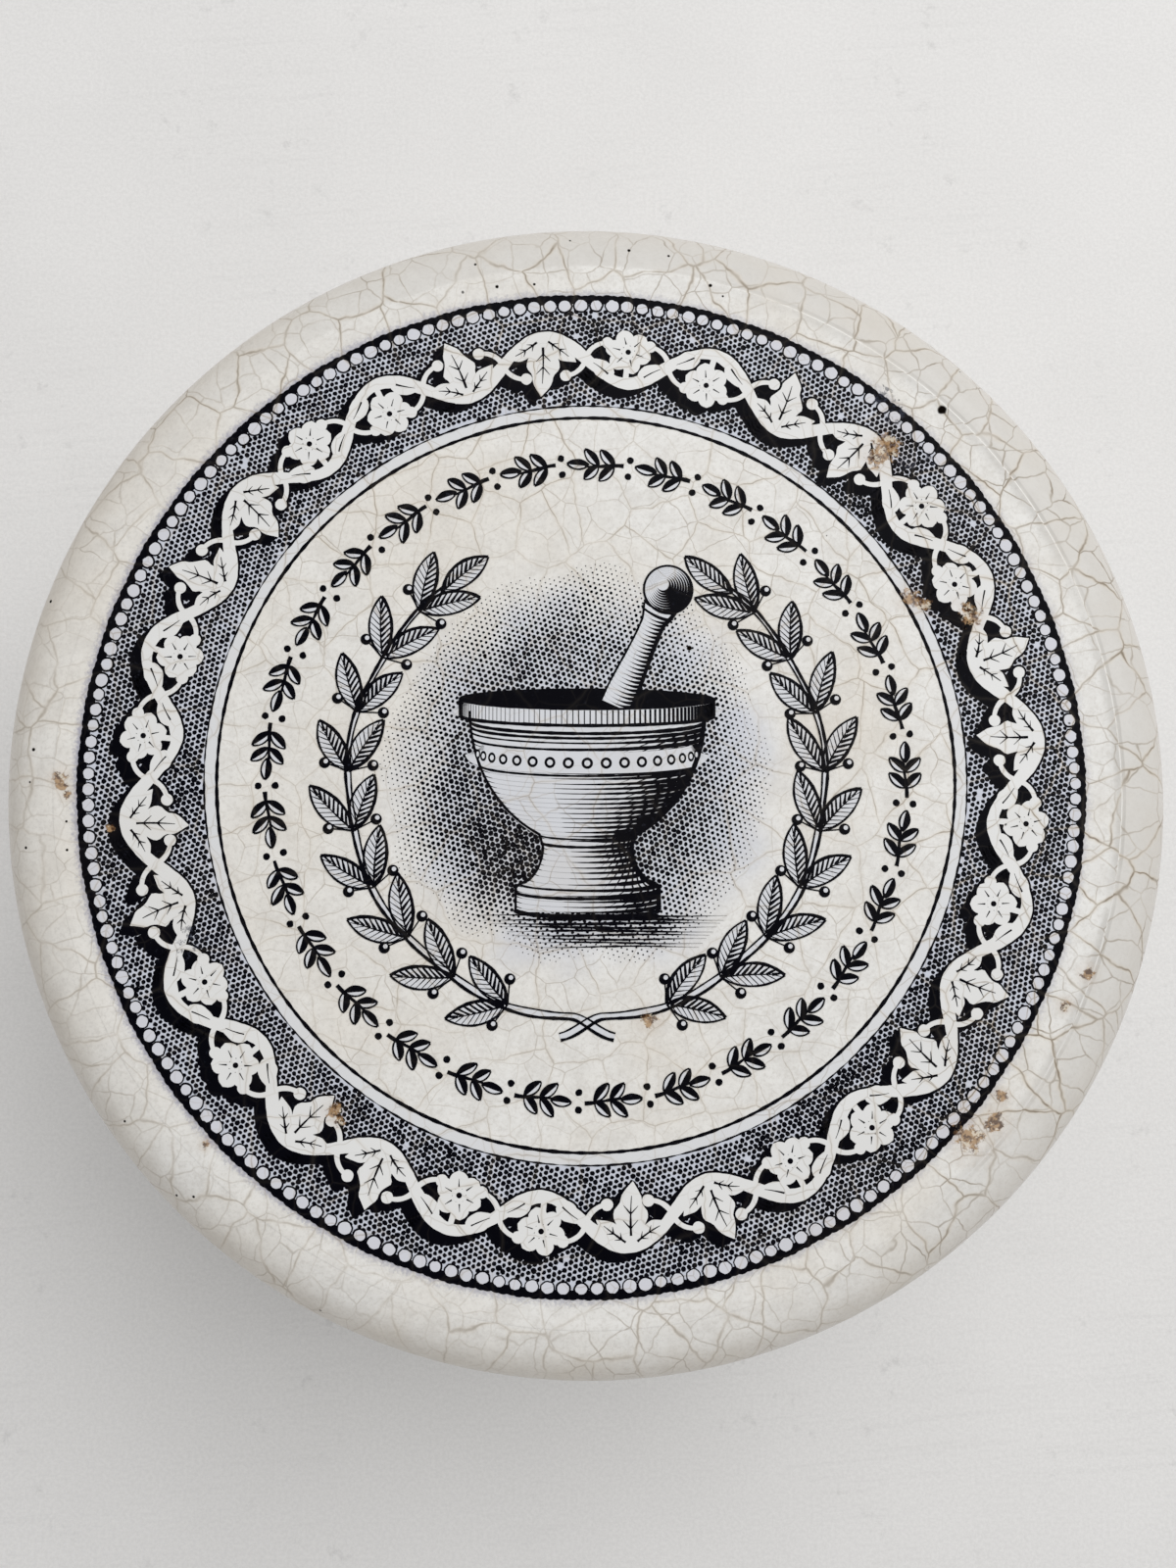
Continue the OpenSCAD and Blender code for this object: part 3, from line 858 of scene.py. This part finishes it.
# The thin ring inside the band, uneven in width
def makeRing():
    a = angles(1500)
    centre = polar(a, ringRadius + 0.02 * np.sin(5 * a + 1), middleCentre)[None]
    half = printSizes["ringLine"] / 2 * (1 + 0.22 * ragged((a * ringRadius)[None], 41, (0.7, 2.9, 6.7)))
    piece = buildPiece("ring_line", ribbons(centre, half, 0.024, closed=True), printInk, "lid")
    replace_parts(piece, "print_ring")


makeBorder()
makeBand()
makeRing()
print("border, band and ring printed")


# The scroll that the band's stipple leaves white

scrollLook = {
    "pitch": 6.0,
    "swing": 1.7,
    "stem": 0.42,
    "leaf": (4.4, 2.5),
    "sideLeaf": (3.0, 1.55),
    "sideAngle": 0.86,
    "petal": (1.35, 0.62),
    "heart": 2.35,                # from a crest to the middle of its rosette
    "tendril": 0.19,
    "shadow": (-0.74, -0.58),     # where the dark shadow falls, across the lid
    "outline": 0.15,
}


# Half width of a leaf along its length: full before the middle, pointed at its tip, with scalloped edges
def leafWidth(t, width, lobes, depth):
    body = np.sin(math.pi * t ** 0.72) ** 0.85
    return width / 2 * body * (1 - depth * (0.5 + 0.5 * np.cos(turn * lobes * t))) + 0.02


# Leaves, petals and stems as lines (centre, half width), measured along the band's middle and outwards
def scrollLines(halfWaves, pitch):
    look = scrollLook
    index = np.arange(halfWaves)
    sign = np.where(index % 2 == 0, 1.0, -1.0)
    crest = np.stack([(index + 0.5) * pitch, sign * look["swing"]], 1)
    inward = -sign * math.pi / 2
    leafy = (index // 2) % 2 == 0
    rosy = ~leafy
    lines, veins = [], []

    def blades(which, base, heading, size, bend, points, shape):
        centre = sweepLine(base, heading, size[0], bend * sign[which], points)
        lines.append((centre, shape(np.linspace(0, 1, points), size[1])))
        return centre

    for lean in (0.0, look["sideAngle"], -look["sideAngle"]):
        size, lobes = (look["leaf"], 3.0) if lean == 0 else (look["sideLeaf"], 2.0)
        blade = blades(leafy, crest[leafy], inward[leafy] + lean * sign[leafy], size, 0.25 + 0.3 * lean, 19,
                       lambda t, w: leafWidth(t, w, lobes, 0.22))
        veins.append((blade[:, 3:15], 0.085))
        for side in (-1, 1):
            for start in (5, 9):
                root = blade[:, start]
                aim = np.arctan2(*(blade[:, start + 1] - root).T[::-1]) + side * 0.75
                veins.append((sweepLine(root, aim, size[1] * 0.30, 0.0, 5), 0.055))
    heart = crest[rosy] + np.stack([0 * sign[rosy], -sign[rosy] * look["heart"]], 1)
    for spin in angles(6) + 0.2:
        base = heart + 0.32 * np.array([math.cos(spin), math.sin(spin)])
        petal = blades(rosy, base, spin, look["petal"], 0.0, 11,
                       lambda t, w: w * np.sin(math.pi * t ** 1.15) ** 0.6 + 0.02)
        veins.append((petal[:, 2:7], 0.05))
    blades(rosy, crest[rosy], inward[rosy], (look["heart"] - 1.2, 0.2), 0.0, 5, lambda t, w: w)
    for side in (-1.0, 1.0):
        base = crest[rosy] + np.stack([side + 0 * sign[rosy], -sign[rosy] * 0.3], 1)
        blade = blades(rosy, base, inward[rosy] + side * 0.8 * sign[rosy], (2.3, 1.3), 0.3 * side, 11,
                       lambda t, w: leafWidth(t, w, 1.0, 0.05))
        veins.append((blade[:, 2:9], 0.06))
    # Tendrils that curl away from the stem's crossings and end in berries
    cross = np.stack([index * pitch, 0.0 * index], 1)
    for side in (-1.0, 1.0):
        heading = sign * math.pi / 2 * (1.15 if side > 0 else -0.85)
        centre = sweepLine(cross, heading, 2.1, 1.3 * sign, 13)
        lines.append((centre, look["tendril"] * np.linspace(1, 0.8, 13)))
    berries = [lines[-1][0][:, -1], lines[-2][0][:, -1]]
    return lines, veins, heart, berries


# A waving stem with leaves, rosettes and berries, white over its outline and a dark shadow swept to one side
def makeScroll():
    look = scrollLook
    halfWaves = 2 * round(math.pi * scrollRadius / look["pitch"])
    pitch = turn * scrollRadius / halfWaves
    lines, veins, heart, berries = scrollLines(halfWaves, pitch)
    s = np.arange(900) * turn * scrollRadius / 900
    stem = np.stack([s, look["swing"] * np.sin(math.pi * s / pitch)], 1)[None]
    stemHalf = look["stem"] * (1 + 0.15 * np.sin(turn * s / pitch))[None]

    def onBand(p):
        return polar(p[..., 0] / scrollRadius, scrollRadius + p[..., 1], bandCentre)

    shift = np.array(look["shadow"])
    dark, white = [], []
    for seed, (centre, half) in enumerate(lines + [(stem, stemHalf)]):
        closed = centre is stem
        path = onBand(centre)
        half = half * (1 + 0.04 * ragged(lengths(centre), 60 + seed))
        for step, share in enumerate((0.0, 0.34, 0.67, 1.0)):
            dark.append(ribbons(path + share * shift, half + look["outline"] * (1 - 0.6 * share),
                                0.030 - 0.0005 * step, closed))
        # Each white shape lies a hair higher than the one before, so that none share a surface
        white.append(ribbons(path, half, 0.040 + 0.0006 * seed, closed))
    rng = np.random.default_rng(7)
    for centre, radius in [(heart, 0.46)] + [(b, 0.42) for b in berries]:
        rim = radius * (1 + rng.normal(0, 0.02, (len(centre), 18)))
        for step, share in enumerate((0.0, 0.5, 1.0)):
            dark.append(discs(onBand(centre) + share * shift, rim + look["outline"] * (1 - 0.6 * share),
                              0.028 - 0.0005 * step))
        white.append(discs(onBand(centre), rim, 0.0500))
    marks = []
    for seed, (centre, half) in enumerate(veins):
        taper = np.linspace(1, 0.25, centre.shape[1])
        marks.append(strokes(onBand(centre), half * taper, 0.054, 400 + seed, least=0.012))
    marks.append(discs(onBand(heart), np.full(12, 0.2), 0.054))
    buildPiece("scroll_ink", joined(dark + marks), printInk, "lid")
    buildPiece("scroll_white", joined(white), reservedGlaze, "lid")


makeScroll()
print("scroll printed")


# Sprigs and wreath

# Half width of a leaf with two pointed ends: the arc of a circle over its length
def bladeHalf(u, length, width):
    r = (length * length + width * width) / (4 * width)
    return np.maximum(np.sqrt(np.maximum(r * r - (u - length / 2) ** 2, 0)) - (r - width / 2), 0)


# Leaves as an engraver cuts them: a pale blade, its outline and midrib, and either veins, close on the shaded
# side, or that side solid. Gives the pale and the inked shapes.
def engravedLeaves(base, angle, look, seed):
    k, width, level = len(base), look["width"], look["level"] + 0.0004 * (seed % 7)
    length = look["length"] * (1 + np.random.default_rng(seed).normal(0, 0.03, (k, 1)))
    u = np.linspace(0, 1, 17)[None] * length
    half = bladeHalf(u, length, width)
    curl = look["curl"] * u * (length - u) / length
    shaded = np.where(np.sin(angle - 0.9) > 0, -1.0, 1.0)[:, None]
    middle = inFrame(base, angle, u, curl)
    pale, ink = [ribbons(middle, half, level)], []
    for side in (-1.0, 1.0):
        heavy = np.where(side == shaded, look["line"] * 1.5, look["line"])
        ink.append(strokes(inFrame(base, angle, u, curl + side * half), heavy, level + 0.010, seed + 1))
    rib = middle[:, 1:-2]
    ink.append(strokes(rib, look["line"] * np.linspace(1, 0.4, rib.shape[1]), level + 0.011, seed + 2))
    m = look["veins"]
    if m == 0:
        solid = inFrame(base, angle, u, curl + shaded * half * 0.5)
        return pale, ink + [ribbons(solid, half * 0.5, level + 0.009)]
    start = np.linspace(0.06, 0.80, m)[None, :, None] * length[:, :, None]
    reach = start + 0.16 * length[:, :, None]
    edge = bladeHalf(reach, length[:, :, None], width) * 0.95
    along = np.linspace(0, 1, 5)[None, None]
    uu = (start + (reach - start) * along).reshape(k * m, 5)
    whole = length.repeat(m, 0)
    bow = look["curl"] * uu * (whole - uu) / whole
    for side in (-1.0, 1.0):
        vein = inFrame(base.repeat(m, 0), angle.repeat(m), uu, (side * edge * along).reshape(k * m, 5) + bow)
        wide = look["veinLine"] * np.where(side == shaded, 2.1, 0.8).repeat(m, 0) * np.linspace(1, 0.55, 5)
        ink.append(strokes(vein, wide, level + 0.009, seed + 3, 0.2, 0.008))
    return pale, ink


sprigLook = {"radius": 22.48, "count": 29, "stem": 2.8, "leafAngle": 48, "stemLine": 0.14, "berry": 0.25,
             "leaf": {"length": 1.5, "width": 0.66, "curl": 0.0, "line": 0.06, "veins": 0, "level": 0.030}}


# A ring of sprigs: a stem with two pairs of leaves and one at its tip, and two berries in each gap
def makeSprigs():
    look = sprigLook
    n, stem, side = look["count"], look["stem"], math.radians(look["leafAngle"])
    place = angles(n)
    heading = place + math.pi / 2
    root = polar(place, look["radius"], middleCentre)
    u = np.linspace(-stem / 2, stem / 2, 9)[None].repeat(n, 0)
    line = inFrame(root, heading, u, 0.10 * np.sin(u * 1.4))
    pales, inks = [], [strokes(line, look["stemLine"] * np.linspace(1, 0.6, 9), 0.036, 70)]
    leaves = ((0.25, -1), (0.25, 1), (0.65, -1), (0.65, 1), (0.9, 0))
    for seed, (share, turned) in enumerate(leaves):
        at = np.full((n, 1), (share - 0.5) * stem)
        base = inFrame(root, heading, at, 0 * at)[:, 0]
        pale, ink = engravedLeaves(base, heading + turned * side, look["leaf"], 700 + 5 * seed)
        pales += pale
        inks += ink
    rng = np.random.default_rng(72)
    for out in (-0.6, 0.6):
        spot = polar(place + turn / n / 2 + 0.028, look["radius"] + out, middleCentre)
        inks.append(discs(spot, look["berry"] * (1 + rng.normal(0, 0.05, (n, 12))), 0.030))
    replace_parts(buildPiece("sprigs_ink", joined(inks), printInk, "lid"), "print_sprigs")
    buildPiece("sprigs_pale", joined(pales), tintedGlaze, "lid")


wreathLook = {"radius": 16.78, "start": -78, "end": 52, "pairs": 9, "leafAngle": 32, "stemLine": 0.2,
              "berry": 0.40,
              "leaf": {"length": 4.4, "width": 1.6, "curl": 0.10, "line": 0.075, "veins": 9, "veinLine": 0.05,
                       "level": 0.034}}


# Two leafy branches up the sides of the picture, with a berry beside each pair of leaves
def makeWreath():
    look = wreathLook
    pales, inks = [], []
    step = (look["end"] - look["start"]) / look["pairs"]
    for mirror in (1, -1):
        flip = np.array([mirror, 1])
        seed = 800 + 50 * mirror

        # Points beside the middle of the branch at angles round the print
        def onWreath(angle, out=0.0):
            return polar(angle, look["radius"] + out) * flip + middleCentre

        def grow(placeDeg, side, number):
            place = np.radians(placeDeg)
            angle = place + math.pi / 2 + side * math.radians(look["leafAngle"])
            angle = angle if mirror > 0 else math.pi - angle
            pale, ink = engravedLeaves(onWreath(place), angle, look["leaf"], seed + number)
            pales.extend(pale)
            inks.extend(ink)

        pairs = look["start"] + step * (np.arange(look["pairs"]) + 0.5)
        grow(pairs, -1, 10)
        grow(pairs, 1, 14)
        grow(np.array([look["end"]]), 0, 20)
        a = np.radians(np.linspace(look["start"] - 18, look["end"] + 1, 130))
        t = np.linspace(0, 1, 130)[None]
        # Beyond the bottom the stem swings outwards, so that the two tails cross
        tail = 1.5 * smoothStep(math.radians(86), math.radians(97), -a)
        path = onWreath(a, 0.12 * np.sin(9 * a) + tail)[None]
        wide = look["stemLine"] * (1.2 - 0.6 * t) * (1 + 0.15 * np.sin(60 * t))
        pales.append(ribbons(path, wide + 0.02, 0.0402 if mirror > 0 else 0.0411))
        ahead = np.gradient(path, axis=1)
        ahead = ahead / np.linalg.norm(ahead, axis=2, keepdims=True)
        across = np.stack([-ahead[..., 1], ahead[..., 0]], 2)
        for side in (-1, 1):
            heavy = 0.06 if side * mirror > 0 else 0.11
            inks.append(strokes(path + side * across * wide[..., None], heavy, 0.052, seed + side))
        for side in (-1, 1):
            foot, fruit = onWreath(np.radians(pairs)), onWreath(np.radians(pairs + 1.7), side * 1.7)
            stalk = foot[:, None] + (fruit - foot)[:, None] * np.linspace(0, 1, 4)[None, :, None]
            inks.append(ribbons(stalk, 0.05, 0.032))
            inks.append(discs(fruit, np.full(14, look["berry"]), 0.047))
            pales.append(discs(fruit + np.array([0.08, 0.10]), np.full(12, 0.16), 0.052))
    return pales, inks


# The picture

mortarLook = {"height": 15.5, "width": 18.0, "rim": 1.5, "footWidth": 10.0, "waist": 6.2, "drop": 0.6,
              "tip": 0.10, "linePitch": 0.37, "line": 0.15, "light": -0.75, "mouth": 0.078,
              "pestleLength": 10.5, "pestleWidth": 2.2, "knob": 3.4, "lean": 24, "pestlePlace": 0.12,
              # Rings round the body as (share of its height, half width), and where the chain of drops runs
              "mouldings": ((0.0, 0.16), (0.09, 0.11), (0.13, 0.075), (0.335, 0.10), (0.375, 0.065),
                            (0.725, 0.08), (0.86, 0.08)), "chain": 0.7925}
bodyHeight = mortarLook["height"] - mortarLook["rim"]
bowlHeight = bodyHeight * 0.68
mortarFoot = middleCentre + np.array([0, -mortarLook["height"] * mortarLook["drop"]])


# Half width of the mortar at a height over its base: foot, hollow waist, elliptical bowl
def mortarRadius(h):
    look = mortarLook
    rise = bodyHeight - bowlHeight
    a = np.radians(np.linspace(-91, -179, 24))
    side = (look["footWidth"] - look["waist"]) / 2
    waist = np.stack([look["footWidth"] / 2 + side * np.cos(a), rise + rise * 0.6 * np.sin(a)], 1)
    b = np.radians(np.linspace(-66, 0, 40))
    cup = np.stack([look["width"] * 0.46 * np.cos(b), bodyHeight + bowlHeight * np.sin(b)], 1)
    foot = np.array([[look["footWidth"] / 2, 0], [look["footWidth"] / 2, rise * 0.3]])
    points = np.concatenate([foot, waist, cup])
    order = np.argsort(points[:, 1], kind="stable")
    return np.interp(h, points[order, 1], points[order, 0])


# A point of the turned body at height h and angle phi from the front, seen slightly from above
def onMortar(h, phi):
    r = mortarRadius(h)
    return np.stack([r * np.sin(phi), h - mortarLook["tip"] * r * np.cos(phi)], -1) + mortarFoot


# Darkness from 0 to 1 by the angle to the light, with a lighter far edge
def shade(phi):
    dark = 1 - np.cos(np.clip(phi - mortarLook["light"], -math.pi / 2, math.pi / 2))
    return np.clip(dark * (1 - 0.3 * smoothStep(1.25, 1.57, phi)), 0, 1)


# The body: lines that follow its roundness, cross lines in the dark, mouldings and a chain of drops
def makeMortarBody():
    look = mortarLook
    phi = np.linspace(-math.pi / 2, math.pi / 2, 81)
    h = np.linspace(0, bodyHeight, 70)
    spine = np.stack([0 * h, h - 0.15], 1)[None] + mortarFoot
    pales, inks = [ribbons(spine, mortarRadius(h)[None], 0.036)], []
    rows = np.arange(0.3, bodyHeight - 0.5, look["linePitch"])
    rows = rows + 0.02 * np.sin(rows * 5.1)
    grid = onMortar(rows[:, None] + 0 * phi[None], phi[None] + 0 * rows[:, None])
    waist = bodyHeight * 0.36
    dark = shade(phi)[None] * (1 + 0.25 * smoothStep(4.0, 0.0, np.abs(rows[:, None] - waist) * 2))
    dark = np.maximum(dark, 0.78 * smoothStep(1.5, 0.2, bodyHeight - 0.6 - rows)[:, None])
    wide = look["line"] * np.clip(dark, 0, 1.08) ** 0.9
    inks.append(strokes(grid, np.where(wide < 0.016, 0.003, wide), 0.048, 900, 0.12, 0.003))
    start = np.linspace(-1.5, bodyHeight - 1.7, 32)[:, None]
    t = np.linspace(0, 1, 40)[None]
    phiCross = 0.15 + 1.35 * t + 0 * start
    hCross = start + 3.4 * t
    inside = smoothStep(0.15, 0.7, hCross) * smoothStep(0, 0.5, bodyHeight - 0.9 - hCross)
    wide = 0.058 * inside * smoothStep(0.2, 0.8, phiCross) + 0.002
    inks.append(ribbons(onMortar(np.clip(hCross, 0.05, bodyHeight), phiCross), wide, 0.049))
    for side, heavy in ((-1, 0.09), (1, 0.17)):
        edge = np.stack([side * mortarRadius(h), h], 1)[None] + mortarFoot
        inks.append(strokes(edge, heavy, 0.050, 910 + side, 0.1))
    for seed, (share, heavy) in enumerate(look["mouldings"]):
        band = onMortar(share * bodyHeight + 0 * phi, phi)[None]
        inks.append(strokes(band, heavy, 0.051, 920 + seed, 0.12))
    chain = look["chain"] * bodyHeight
    pales.append(ribbons(onMortar(chain + 0 * phi, phi * 0.995)[None], 0.74, 0.0495))
    around = np.radians(np.linspace(-78, 78, 17))
    drops = onMortar(np.full(17, chain), around)
    squash = 1 - np.cos(around)[:, None] * 0.75 - 0.25
    rim = 1 - np.abs(np.cos(angles(14))) * squash
    inks.append(discs(drops, 0.41 * rim, 0.053))
    pales.append(discs(drops, 0.21 * rim, 0.057))
    return pales, inks


# The pestle: rungs round its handle, a ring below its knob, and arcs that shade the knob
def makePestle():
    look = mortarLook
    place = [look["width"] * look["pestlePlace"], look["height"] - look["rim"] / 2]
    base = (mortarFoot + np.array(place))[None]
    angle = np.array([math.radians(90 - look["lean"])])
    straight = look["pestleLength"] - look["knob"] / 2
    u = np.linspace(-0.4, straight, 40)[None]
    half = look["pestleWidth"] / 2 * (0.86 + 0.14 * np.cos(u / straight * 5.0))
    half = half + 0.27 * smoothStep(straight - 2.8, straight - 1.4, u)
    pales, inks = [ribbons(inFrame(base, angle, u, 0 * u), half, 0.042)], []
    for side, heavy in ((1, 0.075), (-1, 0.15)):
        inks.append(strokes(inFrame(base, angle, u, side * half), heavy, 0.0455, 940 + side, 0.1))
    rungs = np.arange(-0.2, straight - 1.7, 0.31)[:, None]
    x = np.linspace(-1, 1, 21)[None]
    halfAt = np.interp(rungs, u[0], half[0])
    bow = np.sqrt(np.maximum(1 - x * x, 0))
    k = len(rungs)
    rung = inFrame(base.repeat(k, 0), angle.repeat(k), rungs - 0.32 * bow * halfAt, -x * halfAt)
    inks.append(ribbons(rung, np.maximum(0.12 * shade(np.arcsin(x)), 0.003), 0.0450))
    for at in (straight - 1.8, straight - 1.35):
        inks.append(ribbons(inFrame(base, angle, at - 0.3 * bow, -x * 1.2), 0.08, 0.047))
    heart = inFrame(base, angle, np.full((1, 1), straight), np.zeros((1, 1)))[:, 0]
    knob = look["knob"] / 2
    pales.append(discs(heart, np.full(48, knob), 0.0465))
    a = angles(48)
    lit = np.cos(a + 0.8)
    inks.append(ribbons(polar(a, knob, heart[0])[None], 0.08 + 0.08 * np.clip(lit, 0, 1), 0.052, True))
    for size in knob * np.linspace(0.28, 0.90, 8):
        shift = np.array([-0.34, 0.34]) * (1 - size / knob) * 1.25
        thick = 0.105 * np.clip(lit * 0.75 + 0.28, 0.03, 1)
        inks.append(ribbons(polar(a, size, heart[0] + shift)[None], thick, 0.0505, True))
    return pales, inks


# The mouth and the front face of the rim, which hides the pestle's foot
def makeRim():
    look = mortarLook
    phi = np.linspace(-math.pi / 2, math.pi / 2, 81)[None]
    half, flat = look["width"] / 2, look["mouth"] * look["width"] / 2
    lip = np.array([0, look["height"] - 0.65]) + mortarFoot
    x = np.linspace(-1, 1, 61)[None]
    mouth = ribbons(np.stack([half * x, 0 * x], 2) + lip, flat * np.sqrt(np.maximum(1 - x * x, 0)), 0.0405)
    pales, inks = [], [mouth]
    back = np.stack([half * np.sin(phi), flat * np.cos(phi)], 2) + lip
    inks.append(strokes(back, 0.085, 0.0415, 957, 0.1))
    deep = look["rim"] * 0.78
    face = np.stack([half * np.sin(phi), -flat * np.cos(phi) - deep / 2], 2) + lip
    pales.append(ribbons(face, deep / 2, 0.050))
    for seed, (drop, heavy) in enumerate(((-deep / 2, 0.08), (deep / 2, 0.12))):
        inks.append(strokes(face - np.array([0, drop]), heavy, 0.0565, 950 + seed, 0.1))
    for side in (-1, 1):
        wall = np.array([[[side * half, 0], [side * half, -deep]]]) + lip
        inks.append(ribbons(wall, 0.085, 0.0565))
    ticks = np.radians(np.linspace(-84, 84, 66))
    foot = np.stack([half * np.sin(ticks), -flat * np.cos(ticks)], 1) + lip
    stroke = foot[:, None] + np.stack([np.zeros(3), np.array([-0.08, -0.5, -0.93]) * deep], 1)[None]
    inks.append(ribbons(stroke, 0.02 + 0.08 * shade(ticks)[:, None], 0.0555))
    return pales, inks


# Level strokes that fade out to both sides, for the ground under the mortar
def makeGround():
    t = np.linspace(-1, 1, 50)[None]
    row = np.arange(9)[:, None]
    y = -0.40 - 0.27 * row
    x = 1.0 + (8.8 - 0.4 * row) * t + 0.15 * row
    line = np.stack([x, y + 0.05 * np.sin(3 * t + y * 7)], 2) + mortarFoot
    heavy = (0.12 - 0.008 * row) * smoothStep(1.0, 0.25, np.abs(t))
    return [], [strokes(line, np.maximum(heavy, 0.003), 0.034, 970, 0.3, 0.003)]


cloudLook = {"pitch": 0.385, "angle": 0.75, "dot": 0.178, "reach": 14.4, "jitter": 0.011}


# The stippled sky behind the mortar: dots that shrink towards its soft edge, darkest at its lower left
def makeCloud():
    look = cloudLook
    points = hexLattice(look["pitch"], look["angle"], look["reach"] + 1.5, look["jitter"], 51)
    x, y = points[:, 0], points[:, 1]
    far = np.hypot(x + 0.4, (y - 0.8) / 1.04)
    far = far + 0.5 * np.sin(3 * np.arctan2(y, x) + 0.7) + 0.4 * np.sin(0.9 * x - 0.6 * y)
    tone = 1 - smoothStep(7.5, look["reach"], far)
    tone = tone * (0.86 + 0.14 * np.sin(0.22 * x - 0.3 * y + 0.5)) * (1.05 - 0.016 * (x + y))
    rng = np.random.default_rng(52)
    radius = look["dot"] * np.sqrt(np.clip(tone, 0, 1.15)) * (1 + rng.normal(0, 0.09, len(points)))
    kept = radius > 0.035
    return stipple(points[kept] + middleCentre, radius[kept], 0.02, 53)


# Cloud, wreath, mortar and pestle as three pieces: ink, stipple and what stays pale
def makePicture():
    pales, inks = [], []
    for make in (makeGround, makeMortarBody, makePestle, makeRim, makeWreath):
        pale, ink = make()
        pales += pale
        inks += ink
    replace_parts(buildPiece("picture_ink", joined(inks), printInk, "lid"), "print_picture")
    buildPiece("picture_stipple", makeCloud(), printInk, "lid")
    buildPiece("picture_pale", joined(pales), tintedGlaze, "lid")


makeSprigs()
makePicture()
print("sprigs and picture printed")


# Stage, lights and camera

stageLook = {
    "floor": screen(231, 230, 229),
    "smudge": screen(212, 211, 210),
    "floorReach": 12,
    "clouds": 0.14,
    "grain": 0.40,
    "marks": 0.60,
    "streaks": 0.14,
    "streakTurn": (0, 0, 0.08),
    "streakShape": (18, 0.7, 1),
    "skySide": 0.54,
    "skyTop": 0.56,
    "skyLean": (0.08, 0.10),     # how much brighter the sky is towards +X and +Y
    "keyPlace": (0.255, 0.283, 0.587),
    "keySize": 0.7,
    "keyPower": 2.9,
    "keyColor": (1.0, 0.995, 0.985),
}
cameraLook = {"distance": 109.2, "tilt": 5.485, "swing": -11.44, "aim": (-0.20, -0.12), "pixelsPerMm": 14.506,
              "frameWidth": 1200}


# A pale floor with faint clouds, a fine grain, and small marks and drawn-out streaks in patches
def makeStage():
    look = stageLook
    material, tree = newMaterial("floorPaper")
    vector = placeMm(tree)
    drawn = addNode("ShaderNodeMapping", {"Vector": vector, "Rotation": look["streakTurn"],
                    "Scale": look["streakShape"]}, vector_type="TEXTURE").outputs[0]
    marks = patches(vector, (0.32, 5.0, 0.7), 0.58, 0.70, 0.0, look["marks"])
    streaks = patches(drawn, (1.0, 3.0, 0.6), 0.50, 0.68, 0.0, look["streaks"])
    marked = times(plus(marks, streaks), patches(vector, (0.045, 2.0, 0.5), 0.46, 0.58))
    grain = patches(vector, (3.0, 2.0, 0.7), 0.30, 0.70, 0.0, look["grain"])
    clouds = patches(vector, (0.035, 3.0, 0.6), 0.35, 0.65, 0.0, look["clouds"])
    color = blend(plus(marked, grain, clouds), look["floor"], look["smudge"])
    finishMaterial(color, 0.8, 0.2, noiseAt(vector, 1.2, 3.0, 0.6), 0.06)
    mesh = bpy.data.meshes.new("floor")
    far = look["floorReach"]
    mesh.from_pydata([(-far, -far, 0), (far, -far, 0), (far, far, 0), (-far, far, 0)], [], [(0, 1, 2, 3)])
    mesh.materials.append(material)
    floor = bpy.data.objects.new("floor", mesh)
    bpy.context.scene.collection.objects.link(floor)


# Turns a lamp or camera so that it looks at a place, with its top edge towards up
def aimAt(thing, target, up):
    back = (Vector(thing.location) - Vector(target)).normalized()
    right = Vector(up).cross(back).normalized()
    thing.rotation_euler = Matrix((right, back.cross(right), back)).transposed().to_euler()


# One broad soft lamp high on the right, and a sky that is brighter to its side than straight above
def makeLights():
    look = stageLook
    light = bpy.data.lights.new("key", "AREA")
    light.shape = "DISK"
    light.size = look["keySize"]
    light.energy = look["keyPower"]
    light.color = look["keyColor"]
    lamp = bpy.data.objects.new("key", light)
    lamp.location = look["keyPlace"]
    bpy.context.scene.collection.objects.link(lamp)
    aimAt(lamp, (0, 0, 0.03), (0, 0, 1))
    world = bpy.data.worlds.new("softSky")
    bpy.context.scene.world = world
    world.use_nodes = True
    tree = world.node_tree
    tree.nodes.clear()
    way = addNode("ShaderNodeTexCoord", {}, tree).outputs["Generated"]
    x, y, z = addNode("ShaderNodeSeparateXYZ", {0: way}).outputs
    lean = plus(1.0, plus(times(x, look["skyLean"][0]), times(y, look["skyLean"][1])))
    level = times(ramp(z, 0.25, 0.97, look["skySide"], look["skyTop"]), lean)
    sky = addNode("ShaderNodeBackground", {"Color": level, "Strength": 1.0})
    addNode("ShaderNodeOutputWorld", {"Surface": sky.outputs[0]})


# A camera close over the lid, tipped a little towards the near side, with the photograph's width
def makeCamera():
    look = cameraLook
    tilt, swing, reach = math.radians(look["tilt"]), math.radians(look["swing"]), look["distance"] * mm
    target = Vector((look["aim"][0] * mm, look["aim"][1] * mm, lidTop * mm))
    away = Vector((math.sin(tilt) * math.sin(swing), -math.sin(tilt) * math.cos(swing), math.cos(tilt)))
    data = bpy.data.cameras.new("view")
    data.sensor_fit = "HORIZONTAL"
    data.sensor_width = 36.0
    data.lens = look["pixelsPerMm"] * look["distance"] / look["frameWidth"] * data.sensor_width
    data.clip_start = 0.005
    data.clip_end = 60.0
    camera = bpy.data.objects.new("view", data)
    camera.location = target + away * reach
    bpy.context.scene.collection.objects.link(camera)
    aimAt(camera, target, (0, 1, 0))
    bpy.context.scene.camera = camera


makeStage()
makeLights()
makeCamera()
bpy.context.scene.view_settings.view_transform = "Standard"
print("stage set")
